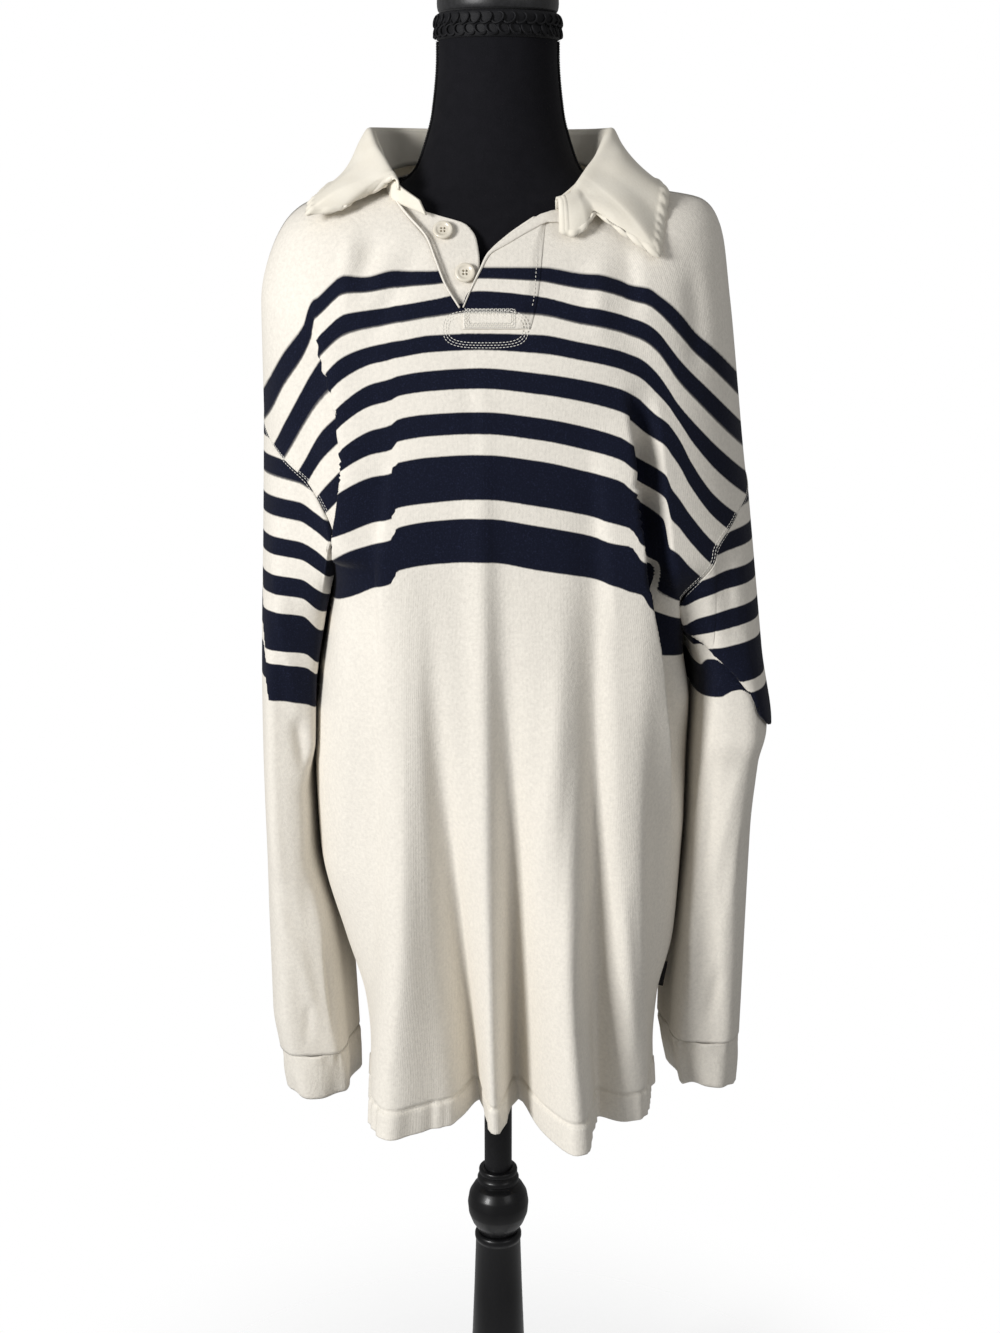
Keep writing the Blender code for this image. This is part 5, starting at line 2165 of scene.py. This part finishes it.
@dataclass
class DressForm:
    """The limbless form: torso and neck, covered in black jersey, with cords, braid and cap."""

    rings: tuple[Ring, ...] = listed(Ring,
        (1519, 50, 50, 50), (1486, 50.2, 50.2, 50.2), (1440, 54.5, 50, 52), (1412, 62, 51, 55),
        (1393, 70, 52, 58), (1380, 86, 53.5, 64), (1370, 120, 56, 71), (1358, 154, 62, 79),
        (1338, 168, 70, 87), (1300, 172, 84, 97), (1250, 169, 99, 105), (1195, 160, 112, 106),
        (1135, 145, 118, 102), (1060, 130, 106, 92), (970, 118, 90, 84), (880, 132, 86, 90),
        (800, 142, 79, 94), (770, 139, 75, 90), (760, 131, 68, 83),
    )
    segments: int = 96
    loops: int = 34
    braid_heights: tuple[float, ...] = (1.5040, 1.5125)
    braid_radius: float = 0.0527
    braid_tip: float = 38.0
    strand_sides: int = 6
    strand_pitch: float = 0.0042
    strand_radius: float = 0.00085
    cap: tuple[Turn, ...] = listed(Turn,
        (0.4, 1564), (6, 1564), (18, 1563), (33, 1558), (45, 1548), (50.5, 1536), (51.5, 1529),
        (51, 1522), (49.5, 1519.5), (0.4, 1519.5),
    )

    def read(self, name: str, z: Array | float) -> Array:
        """One size of the form at any height."""
        return read(self.rings, "z", name, z)

    def torso(self, finish: Finish) -> Piece:
        """The form's skin: rings close together from the top of the neck to the lower edge.

        Args:
            finish: its finish.

        Returns:
            The new object.
        """
        heights = []
        for a, b in zip(self.rings, self.rings[1:]):
            count = max(2, math.ceil(max(a.z - b.z, abs(a.side - b.side)) / 0.008))
            heights += [mix(a.z, b.z, k / count) for k in range(count)]
        heights.append(self.rings[-1].z)
        rings = [
            Ring(z, *(float(self.read(name, z)) for name in ("side", "front", "back")))
            for z in heights
        ]
        return loft("form_torso_cover", rings, self.segments, finish, 55)

    def loop(self) -> Mesh:
        """One loop of the braid: a ring of yarn pressed into an oval and tipped over.

        Returns:
            The mesh, to be copied.
        """
        select()
        bpy.ops.mesh.primitive_torus_add(
            major_radius=0.0042, minor_radius=0.00085, major_segments=16, minor_segments=6)
        made = bpy.context.object
        with editing(made):
            bpy.ops.transform.resize(value=(1.25, 0.95, 1.0), center_override=(0, 0, 0))
            bpy.ops.transform.rotate(value=math.radians(22), orient_axis="X", center_override=(0, 0, 0))
            bpy.ops.mesh.normals_make_consistent(inside=False)
        mesh = made.data.copy()
        bpy.data.objects.remove(made, do_unlink=True)
        return mesh

    def braid(self, finish: Finish) -> Piece:
        """Two rows of interlaced loops round the top of the neck.

        Args:
            finish: the yarn.

        Returns:
            The new object.
        """
        places = []
        for row, z in enumerate(self.braid_heights):
            for k in range(self.loops):
                angle = 2 * math.pi * (k + 0.5 * row) / self.loops
                out = Vector((math.cos(angle), math.sin(angle), 0))
                along = Vector((-math.sin(angle), math.cos(angle), 0))
                tip = math.radians(self.braid_tip if row else -self.braid_tip)
                up = Vector((0, 0, 1))
                first = along * math.cos(tip) + up * math.sin(tip)
                second = out.cross(first)
                at = out * self.braid_radius + up * z
                places.append(Matrix((
                    (first.x, second.x, out.x, at.x), (first.y, second.y, out.y, at.y),
                    (first.z, second.z, out.z, at.z), (0, 0, 0, 1),
                )))
        return copied("neck_braid_loops", self.loop(), places, finish)

    def braid_core(self, finish: Finish) -> Piece:
        """The band behind the braid's loops.

        Args:
            finish: the yarn.

        Returns:
            The new object.
        """
        profile = (
            (0.0508, 1.5185), (0.0519, 1.5180), (0.0524, 1.5150), (0.0517, 1.5085),
            (0.0524, 1.5020), (0.0519, 1.4980), (0.0508, 1.4975),
        )
        return loft("neck_braid_band", turned_rings(profile, 0.0004), self.segments, finish, 60)

    def side_line(self, side: Side, count: int) -> tuple[Array, Array]:
        """The form's side from under the braid down to the shoulder tip, with its normals.

        Args:
            side: which side.
            count: how many points.

        Returns:
            The points and their normals.
        """
        z = np.concatenate((np.linspace(1.497, 1.385, count // 2), np.linspace(1.384, 1.345, count // 2)))
        out = self.read("side", z)
        shift = (self.read("back", z) - self.read("front", z)) / 2
        points = np.stack((side.value * out, shift, z), axis=-1)
        run = np.gradient(points, axis=0)
        normals = unit(np.cross(run, (0, 1.0, 0)))
        normals *= np.sign(normals[:, :1] * side.value + 1e-9)
        return points, normals

    def side_cord(self, side: Side, finish: Finish) -> Piece:
        """Two twisted strands sewn down the side of the neck.

        Args:
            side: which side.
            finish: the yarn.

        Returns:
            The new object.
        """
        points, normals = self.side_line(side, 240)
        count, corners = len(points), self.strand_sides
        binormals = np.cross(unit(np.gradient(points, axis=0)), normals)
        rings, faces = [], []
        for strand in range(2):
            phase = arc_length(points) / self.strand_pitch * 2 * math.pi + strand * math.pi
            middle = points + normals * (0.0009 + 0.0007 * np.cos(phase))[:, None] + (
                binormals * (0.0007 * np.sin(phase))[:, None])
            for k in range(corners):
                angle = 2 * math.pi * k / corners
                out = normals * math.cos(angle) + binormals * math.sin(angle)
                rings.append(middle + out * self.strand_radius)
                a, b = ((strand * corners + j % corners) * count for j in (k, k + 1))
                faces += [[a + r, b + r, b + r + 1, a + r + 1] for r in range(count - 1)]
        mesh = new_mesh("cord", np.concatenate(rings), faces)
        made = add_object(f"neck_cord_{side.name.lower()}", mesh, finish)
        with editing(made):
            bpy.ops.mesh.fill_holes(sides=0)
            bpy.ops.mesh.normals_make_consistent(inside=False)
        return made

    def neck_cap(self, finish: Finish) -> Piece:
        """The domed cap on the neck."""
        return loft("neck_cap_dome", turned_rings(self.cap, 0.002), self.segments, finish, 45)


@dataclass
class TurnedStand:
    """The pole, the turned knob and the column."""

    segments: int = 72
    pole: tuple[Turn, ...] = listed(Turn,
        (0.4, 759.7), (13, 759.7), (13.5, 759), (13.5, 170.5), (13, 170), (0.4, 170),
    )
    knob: tuple[Turn, ...] = listed(Turn,
        (14.2, 439.2), (17.8, 439), (19, 437.5), (19, 434), (17.2, 432), (20.5, 429), (20.5, 424.5),
        (18.5, 422.5), (24, 419), (28.5, 411), (30.2, 401), (29.2, 390), (25.5, 380), (20.5, 372.5),
        (19.5, 369), (14.2, 368.8),
    )
    column: tuple[Turn, ...] = listed(Turn,
        (14.2, 368.7), (21.5, 368.5), (23.2, 366.5), (23.2, 362), (22.2, 360), (24, 305), (27, 230),
        (30, 175), (32.5, 170), (32.5, 164), (30.5, 160), (30.5, 85), (28.5, 75), (14.2, 74.8),
    )

    def bored(self, name: str, profile: Sequence[Turn], finish: Finish) -> Piece:
        """A turned piece round the pole."""
        return loft(name, turned_rings(profile, 0.0008), self.segments, finish, 40, bored=True)

    def make(self, lacquer: Finish, tube: Finish) -> dict[str, Piece]:
        """The stand's turned pieces, by the CAD node that each stands for.

        Args:
            lacquer: the knob's and the column's finish.
            tube: the pole's finish.

        Returns:
            The pieces, by node.
        """
        return {
            "pole": loft("pole_tube", turned_rings(self.pole, 0.0005), self.segments, tube, 40),
            "knob": self.bored("turned_knob", self.knob, lacquer),
            "column": self.bored("turned_column", self.column, lacquer),
        }


# ---- the studio

class Lamp(NamedTuple):
    """A square soft light that faces the shirt's middle: its side and its power in watts."""

    name: str
    place: Triple
    size: float
    power: float
    aim: Triple = (0, 0, 1.0)


@dataclass
class Studio:
    """A pale floor, soft light and the camera."""

    lens: float = 50.0
    height: float = 1.389
    distance: float = 1.646
    aside: float = 0.0018
    pitch: float = 14.9
    surround: float = 0.23
    lamps: tuple[Lamp, ...] = (
        Lamp("key_light", (-2.42, -2.54, 1.9), 1.0, 120), Lamp("fill_light", (2.20, -2.40, 2.5), 1.6, 15),
    )

    def camera(self) -> None:
        """The camera in front of the form, looking slightly down."""
        data = bpy.data.cameras.new("camera")
        data.lens, data.sensor_width, data.clip_start = self.lens, 36, 0.01
        made = bpy.data.objects.new("camera", data)
        made.location = (self.aside, POLE_Y - self.distance, self.height)
        made.rotation_euler = (math.radians(90 - self.pitch), 0, 0)
        bpy.context.scene.collection.objects.link(made)
        bpy.context.scene.camera = made

    def floor(self, finish: Finish) -> None:
        """A wide sheet of paper under the feet.

        Args:
            finish: the paper.
        """
        select()
        bpy.ops.mesh.primitive_plane_add(size=1, location=(0, 0, -0.0005))
        made = bpy.context.object
        with editing(made):
            bpy.ops.transform.resize(value=(6, 6, 1), center_override=(0, 0, 0))
        settle(made, "studio_floor", finish)

    def light(self, lamp: Lamp) -> None:
        """Hangs one light.

        Args:
            lamp: its sizes.
        """
        data = bpy.data.lights.new(lamp.name, "AREA")
        data.shape, data.size, data.energy = "SQUARE", lamp.size, lamp.power
        made = bpy.data.objects.new(lamp.name, data)
        made.location, way = lamp.place, Vector(lamp.aim) - Vector(lamp.place)
        made.rotation_euler = way.to_track_quat("-Z", "Y").to_euler()
        bpy.context.scene.collection.objects.link(made)

    def world(self, strength: float) -> None:
        """A white surround that gives only this much light.

        Args:
            strength: how strong its light is.
        """
        world = bpy.data.worlds.new("surround")
        world.use_nodes = True
        tree = world.node_tree
        shader = tree.nodes["Background"]
        shader.inputs["Color"].default_value = (1.0, 1.0, 1.0, 1)
        seen = tree.nodes.new("ShaderNodeLightPath").outputs["Is Camera Ray"]
        share = tree.nodes.new("ShaderNodeMapRange")
        share.inputs["To Min"].default_value = strength
        share.inputs["To Max"].default_value = 1.0
        tree.links.new(seen, share.inputs["Value"])
        tree.links.new(share.outputs[0], shader.inputs["Strength"])
        bpy.context.scene.world = world

    def make(self, paper: Finish) -> None:
        """Sets up the studio.

        Args:
            paper: the floor's finish.
        """
        self.camera()
        self.floor(paper)
        self.world(self.surround)
        for lamp in self.lamps:
            self.light(lamp)
        bpy.context.scene.view_settings.view_transform = "Standard"


# ---- putting it together

RIGHT_SLEEVE = Sleeve(
    Side.RIGHT,
    listed(Tube,
        (1015, 211.5, 156, 80, 86, 0), (950, 213.5, 166.6, 79, 86, 1), (870, 214.8, 169.5, 73, 83, 1),
        (790, 215, 168, 65, 78, 1), (705, 216, 153, 55, 71, 2), (620, 216, 147, 45, 62, 3),
        (578, 211, 145, 40, 54, 3),
    ),
    RIGHT_SLEEVE_CHART,
    listed(Crease,
        (186, 1120, 181, 880, 2.2, 5, 9), (176, 930, 172, 862, -5, 6, 6), (199, 900, 200, 620, 1.2, 8, 8),
        (163, 840, 176, 690, -1.6, 8, 7), (158, 730, 152, 585, -3.4, 3, 6),
        (186, 720, 170, 600, 2.2, 8, 6), (205, 780, 190, 700, -1.8, 6, 8), (176, 640, 182, 585, -2, 4, 5),
    ),
    listed(Crease,
        (190, 1100, 184, 900, -2.8, 7, 9), (170, 960, 192, 840, 2.6, 8, 7),
        (200, 860, 192, 640, -2.4, 7, 8), (164, 800, 170, 620, 2.4, 7, 7),
        (180, 700, 188, 600, -2.2, 6, 6),
    ),
    slip=listed(FrontPoint, (202, 905), (203.3, 945), (209.8, 1066)),
)
LEFT_SLEEVE = Sleeve(
    Side.LEFT,
    listed(Tube,
        (960, 240, 176, 82, 88, 0), (905, 245, 176.2, 82, 88, 1), (872, 239, 175.6, 74, 85, 1),
        (800, 234.5, 174.4, 66, 79, 2), (715, 233.5, 169.2, 56, 71, 3), (640, 233, 166, 47, 62, 3),
        (592, 232.5, 165, 41, 55, 3),
    ),
    LEFT_SLEEVE_CHART,
    listed(Crease,
        (184, 930, 188, 700, -2.4, 6, 8), (213, 890, 204, 760, 2.6, 8, 6),
        (230, 850, 222, 680, -2.2, 7, 7), (200, 760, 216, 620, 2.2, 7, 8),
        (176, 740, 184, 610, 2.4, 6, 6), (205, 680, 198, 600, -2.4, 5, 6),
        (206, 1080, 214, 1000, 1.4, 8, 8),
    ),
    listed(Crease,
        (210, 1060, 206, 900, -2.6, 8, 9), (190, 940, 214, 820, 2.8, 8, 8),
        (226, 860, 214, 650, -2.4, 7, 8), (184, 800, 192, 620, 2.2, 7, 7), (204, 700, 210, 600, -2, 6, 6),
    ),
    flap=listed(FrontPoint,
        (160, 1004), (168.5, 1000.5), (179.7, 993), (193.8, 977.6), (206.2, 964), (221.3, 944.8),
        (228.3, 925.4), (239, 911), (248, 902),
    ),
)
RIGHT_CUFF = Cuff(Side.RIGHT, listed(Tube,
    (577, 208, 145, 37, 50, 4), (555, 207.5, 143.5, 36, 48, 5), (531, 204, 144, 35, 46, 6),
), (0.0020, 0.0022, 0.0015, 0.0010))
LEFT_CUFF = Cuff(Side.LEFT, listed(Tube,
    (591, 231, 165.5, 38, 50, 4), (568, 231.8, 169, 37, 49, 5), (540, 230, 176, 36, 47, 6),
), (0.0018, -0.0024, 0.0016, 0.0008))


class EdgePoint(NamedTuple):
    """A place on the inner edge of a folded band, seen from the front, and the fold's width there."""

    x: float
    z: float
    width: float


BUTTONHOLE_EDGE = listed(EdgePoint,
    (51, 1359.2, 10), (40.5, 1358, 8.8), (24, 1348.7, 6.8), (7, 1337.2, 5), (-8.7, 1325, 2.6),
    (-15.2, 1312.5, 2), (-22.5, 1297.5, 1.4), (-28.8, 1283, 1.2),
)
BUTTON_SIDE_EDGE = listed(EdgePoint,
    (-88, 1371.5, 1.2), (-80, 1362, 1.8), (-72.5, 1354, 2), (-57.5, 1337.5, 1.8), (-50, 1320, 1.8),
    (-42.5, 1302, 1.8), (-30.5, 1283, 1.6),
)


@dataclass
class RugbyShirt:
    """The whole shirt."""

    body: ShirtBody = field(default_factory=ShirtBody)
    armhole_lines: tuple[float, ...] = (0.0018, 0.0046)
    hem_lines: tuple[float, ...] = (0.0236, 0.0262)
    leaf_lines: tuple[float, ...] = (0.0014, 0.0056)
    leaf_end_line: float = 0.0018
    leaf_hidden: int = 14
    sleeve_line: float = 0.0016
    cuff_line: float = 0.0022
    sleeves: tuple[Sleeve, ...] = (RIGHT_SLEEVE, LEFT_SLEEVE)
    cuffs: tuple[Cuff, ...] = (RIGHT_CUFF, LEFT_CUFF)
    collar: Collar = field(default_factory=Collar)
    cuts: dict[str, Cut] = field(default_factory=lambda: {
        "shirt_front": Cut(0.620, 0.930, 0.470),
        "shirt_back": Cut(0.600, 0.950, 0.450),
        "sleeve_right": Cut(0.540, 0.560, 0.200), "sleeve_left": Cut(0.540, 0.560, 0.200),
        "cuff_right": Cut(0.262, 0.048, rests_on=("sleeve_right_cloth",)),
        "cuff_left": Cut(0.262, 0.052, rests_on=("sleeve_left_cloth",)),
        "collar_stand": Cut(0.480, 0.032, rests_on=("shirt_front_cloth", "shirt_back_cloth")),
        "collar_leaf": Cut(0.560, 0.095, 0.0440, ("collar_stand_cloth",)),
        "placket_button_band": Cut(0.040, 0.140, 0.0036, ("shirt_front_cloth",)),
        "placket_top_band": Cut(0.060, 0.110, 0.0050, ("shirt_front_cloth",)),
        "buttonhole_edge": Cut(0.0120, 0.1180, 0.0009, ("placket_top_band_cloth",)),
        "button_side_edge": Cut(0.0100, 0.1080, 0.00035, ("placket_button_band_cloth",)),
    })

    @property
    def placket(self) -> Placket:
        """The neck opening."""
        return Placket(self.body)

    def lay(
        self, node: str, panel: Panel, normals: Array, thickness: Array | float,
        finish: Finish, slot_name: str, drawn_in: float = SEAM_GAP,
    ) -> Laid:
        """Builds a sheet as a wall, hides the CAD node it replaces and ties it to the form's body.

        Args:
            node: the CAD node it replaces.
            panel: its outer side.
            normals: the outward normal at each point.
            thickness: the wall's, one number or one for each point.
            finish: its finish.
            slot_name: the record's slot.
            drawn_in: how far each edge is drawn in from its seam.

        Returns:
            The panel and its normals, for its stitches.
        """
        obj = wall(node + "_cloth", panel, normals, thickness, finish, drawn_in)
        carry(obj, slot_name, Body.FORM, node, self.cuts[node])
        return panel, normals

    def shell(self, jersey: Finish) -> dict[str, Laid]:
        """Builds the front, the back and the sleeves, which meet along their seams.

        Args:
            jersey: their finish.

        Returns:
            Each panel and its normals, by name, for the stitches.
        """
        body = self.body
        front, back = (body.panel(facing) for facing in Facing)
        panels, turns = {"shirt_front": front, "shirt_back": back}, {}
        makers = {"shirt_front": body, "shirt_back": body}
        for sleeve in self.sleeves:
            loop, turned = body.armhole(front, back, sleeve.side)
            name = "sleeve_" + sleeve.side.name.lower()
            panels[name], makers[name], turns[name] = sleeve.panel(loop, turned), sleeve, turned

        def facings() -> dict[str, Array]:
            """The panels' normals, by name."""
            return dict(zip(panels, shared_normals(list(panels.values()))))

        for (name, panel), normal in zip(panels.items(), facings().values()):
            maker, (x, y, z) = makers[name], panel.points.transpose(2, 0, 1)
            across = np.arctan2(y, x - maker.middle) * 0.13
            panel.chart = np.stack((across, -z, maker.stripe_place(panel.points)), axis=-1)
            seam = body.creased(panel.points[0], normal[0])
            panel.points = maker.creased(panel.points, normal)
            if maker is not body:
                panel.points[0] = seam
        for panel, normal in zip((front, back), facings().values()):
            panel.points = body.lifted(panel.points, normal)
        for sleeve, (name, turned) in zip(self.sleeves, turns.items()):
            if sleeve.flap:
                panels[name] = sleeve.pleated(panels[name], facings()[name], turned)
        return {
            name: self.lay(name, panels[name], normal, makers[name].thickness(panels[name].points),
                           jersey, "jersey")
            for name, normal in facings().items()
        }

    def make_cuffs(self, finish: Finish) -> list[Laid]:
        """Builds both cuffs.

        Args:
            finish: their finish.

        Returns:
            Their panels and normals.
        """
        made = []
        for cuff in self.cuffs:
            panel = cuff.panel()
            panel.points = cuff.creased(panel.points, shared_normals([panel])[0])
            x, y, z = panel.points.transpose(2, 0, 1)
            across = np.arctan2(y, x - cuff.side.value * ARM_MIDDLE) * 0.04
            panel.chart = np.stack((across, -z, 0 * z), axis=-1)
            name, normals = "cuff_" + cuff.side.name.lower(), shared_normals([panel])[0]
            made.append(self.lay(name, panel, normals, cuff.wall, finish, "cuff"))
        return made

    def make_collar(self, finish: Finish) -> Laid:
        """Builds the collar's stand and leaf.

        Args:
            finish: their finish.

        Returns:
            The leaf's panel and normals.
        """
        collar = self.collar
        stand, leaf = collar.stand(), collar.leaf()
        leaf.points = collar.creased(leaf, shared_normals([leaf])[0])
        for name, panel, thickness in (
            ("collar_stand", stand, collar.stand_wall), ("collar_leaf", leaf, collar.leaf_wall),
        ):
            laid = self.lay(name, panel, shared_normals([panel])[0], thickness, finish, "twill", 0)
        return laid

    def make_placket(self, finishes: dict[str, Finish]) -> None:
        """Builds the bands of the neck opening and the folded edges along it.

        Args:
            finishes: every finish, by name.
        """
        placket = self.placket
        for name, bands, lift, rows, columns, cloth in (
            ("placket_button_band", placket.button_band, -0.0029, 40, 20, "plain_jersey"),
            ("placket_top_band", placket.top_band, placket.top_lift, 50, 30, "jersey"),
        ):
            panel, normals = placket.band(bands, lift, rows, columns)
            self.lay(name, panel, normals, placket.band_wall, finishes[cloth], "jersey", 0)
        self.turned_edge("buttonhole_edge", BUTTONHOLE_EDGE, Side.LEFT, finishes["plain_jersey"])
        self.turned_edge("button_side_edge", BUTTON_SIDE_EDGE, Side.RIGHT, finishes["plain_jersey"])

    def make_buttons(self, finish: Finish) -> None:
        """Turns both buttons and lays them on the button band.

        Args:
            finish: the resin.
        """
        for name, x, z in (("button_upper", -0.0452, 1.3440), ("button_lower", -0.0268, 1.3105)):
            button = Button(name + "_resin")
            point, normal = (Vector(found[0]) for found in self.placket.surface(
                np.array([x]), np.array([z])))
            place = point + normal * (button.lift + button.thickness / 2)
            at = Matrix.Translation(place) @ normal.to_track_quat("Z", "Y").to_matrix().to_4x4()
            carry(button.make(finish, at), "button", Body.FORM, name)

    def seams(self, shell: dict[str, Laid], cuffs: list[Laid]) -> list[Seam]:
        """The jersey's stitches: both armholes, the turned-up hem and the cuffs.

        Args:
            shell: the body's and the sleeves' panels and normals, by name.
            cuffs: the cuffs' panels and normals.

        Returns:
            The lines of stitches.
        """
        found = []
        first, corner = self.body.armhole_rows()
        rise, wing = slice(first + 1, corner + 1), self.body.wing_columns
        for name, (panel, normals) in shell.items():
            points = panel.points
            if name.startswith("sleeve"):
                found.append(Seam(beside(points[0], points[2], self.sleeve_line), normals[0]))
                continue
            for middle, inward in ((wing, 1), (points.shape[1] - 1 - wing, -1)):
                for distance in self.armhole_lines:
                    line = beside(points[rise, middle], points[rise, middle + inward], distance)
                    found.append(Seam(line, normals[rise, middle]))
            found += [Seam(*alongside(points, normals, distance)) for distance in self.hem_lines]
        for panel, normals in cuffs:
            found.append(Seam(*alongside(panel.points, normals, self.cuff_line, last=False)))
        return found

    def collar_seams(self, leaf: Panel, normals: Array) -> list[Seam]:
        """The collar's stitches: two lines inside the leaf's edge and one at each end.

        Args:
            leaf: the leaf.
            normals: its normals.

        Returns:
            The lines of stitches.
        """
        lines = [alongside(leaf.points, normals, distance, across=True) for distance in self.leaf_lines]
        for last in (False, True):
            line, facing = alongside(leaf.points, normals, self.leaf_end_line, last=last)
            lines.append((line[self.leaf_hidden:], facing[self.leaf_hidden:]))
        return [Seam(line, facing, 0.0026, 0.0019) for line, facing in lines]

    def on_front(self, line: Sequence[tuple[float, float]], lift: float, **how: float) -> Seam:
        """A line of stitches over the front.

        Args:
            line: its corners, seen from the front.
            lift: how far it stands off the front.
            how: the stitches' sizes.

        Returns:
            The line of stitches.
        """
        places = np.array(line)
        length = arc_length(places)
        at = np.linspace(0, length[-1], max(2, int(length[-1] / 0.0012)))
        points, normals = self.placket.surface(*at_length(at, length, places).T)
        return Seam(points + normals * lift, normals, **how)

    def placket_seams(self) -> list[Seam]:
        """The neck opening's stitches: its edges, the box at its foot and the ovals round it.

        Returns:
            The lines of stitches.
        """
        placket, found = self.placket, []
        low = placket.top_band[-1]
        turn = np.linspace(0, 2 * math.pi, 120)
        for inner in (0.0, 0.0020, 0.0040):
            x = placket.oval_x + (placket.oval_width - inner) * power(np.cos(turn), 0.62)
            z = placket.oval_z + (placket.oval_height - inner) * power(np.sin(turn), 0.62)
            on_band = (x > low.start) & (x < low.end + 0.0005) & (z > low.z)
            points, normals = placket.surface(x, z)
            points = points + normals * np.where(on_band, placket.top_lift, 0.0)[:, None]
            found.append(Seam(points, normals, pitch=0.0029, length=0.0020))
        for inner in (0.0, 0.0016, 0.0032):
            left, right = placket.box_left + inner, placket.box_right - inner
            low, high = placket.box_low + inner, placket.box_high - inner
            box = ((left, high), (right, high), (right, low), (left, low), (left, high))
            found.append(self.on_front(box, 0.0021, pitch=0.0016, length=0.0018, slant=0.8))
        found.append(self.on_front(placket.side_line, 0.0008, pitch=0.0034, length=0.0018))
        return found

    def turned_edge(self, name: str, path: Sequence[EdgePoint], side: Side, finish: Finish) -> None:
        """Lays a folded edge of cloth along the neck opening.

        Args:
            name: the piece's name.
            path: places along its inner edge, seen from the front, and its width at each.
            side: to which side of the path it lies.
            finish: its finish.
        """
        table = np.array(path)
        at = np.linspace(0, len(table) - 1, 90)
        x, z, wide = (monotone(range(len(table)), column, at) for column in table.T)
        run = unit(np.stack((np.gradient(x), np.gradient(z)), axis=-1))
        aside = np.stack((-run[:, 1], run[:, 0]), axis=-1)
        aside *= np.sign(aside[:, :1]) * side.value
        share = np.linspace(0, 1, 8)
        grid_x = x[:, None] + aside[:, :1] * wide[:, None] * share
        grid_z = z[:, None] + aside[:, 1:] * wide[:, None] * share
        points, normals = self.placket.surface(grid_x, grid_z)
        crown = 0.0021 + 0.0012 * np.sin(math.pi * np.clip(share, 0.05, 0.95)) ** 0.5
        points = points + normals * crown[None, :, None]
        panel = Panel(points, False, side.value, np.stack((grid_x, -grid_z, 0 * grid_x), axis=-1))
        edge = wall(name, panel, normals, 0.0008, finish, 0)
        carry(edge, "jersey", Body.FORM, None, self.cuts[name])


def build_form(finishes: dict[str, Finish]) -> None:
    """Builds the dress form.

    Args:
        finishes: every finish, by name.
    """
    form = DressForm()
    for obj, node, slot_name in (
        (form.torso(finishes["cover"]), "form_torso", "form_cover"),
        (form.neck_cap(finishes["satin"]), "neck_cap", "lacquer"),
        (form.braid_core(finishes["braid"]), "neck_braid", "braid"),
        (form.braid(finishes["braid"]), "neck_braid", "braid"),
        (form.side_cord(Side.RIGHT, finishes["braid"]), None, "braid"),
        (form.side_cord(Side.LEFT, finishes["braid"]), None, "braid"),
    ):
        carry(obj, slot_name, Body.FORM, node)


def build_stand(finishes: dict[str, Finish]) -> None:
    """Builds the pole, knob and column.

    Args:
        finishes: every finish, by name.
    """
    for node, obj in TurnedStand().make(finishes["lacquer"], finishes["tube"]).items():
        is_pole = node == "pole"
        carry(obj, "tube" if is_pole else "lacquer", Body.FORM if is_pole else Body.STAND, node)


def dress(node: str, material: Finish) -> None:
    """Gives a CAD node that stays its finish."""
    for slot_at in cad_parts[node].material_slots:
        slot_at.material = material


def main() -> None:
    """Builds the shirt, the form, the stand and the studio."""
    logging.basicConfig(level=logging.INFO, format="%(message)s")
    kinds = Finishes()
    finishes = {kind.name: getattr(kinds, kind.name).make() for kind in fields(kinds)}
    Studio().make(finishes["paper"])
    shirt = RugbyShirt()
    shell, cuffs = shirt.shell(finishes["jersey"]), shirt.make_cuffs(finishes["cuff"])
    leaf = shirt.make_collar(finishes["twill"])
    shirt.make_placket(finishes)
    for name, seams, radius, slot_name in (
        ("jersey_stitches", shirt.seams(shell, cuffs), 0.00028, "jersey"),
        ("placket_stitches", shirt.placket_seams(), 0.00036, "jersey"),
        ("collar_stitches", shirt.collar_seams(*leaf), 0.00028, "twill"),
    ):
        carry(sewn(name, seams, radius, finishes["thread"]), slot_name, Body.FORM)
    shirt.make_buttons(finishes["pearl"])
    build_form(finishes)
    build_stand(finishes)
    for number in (1, 2, 3):
        dress(f"leg_{number}", finishes["lacquer"])
    dress("label_side", finishes["tape"])


if __name__ == "__main__":
    main()
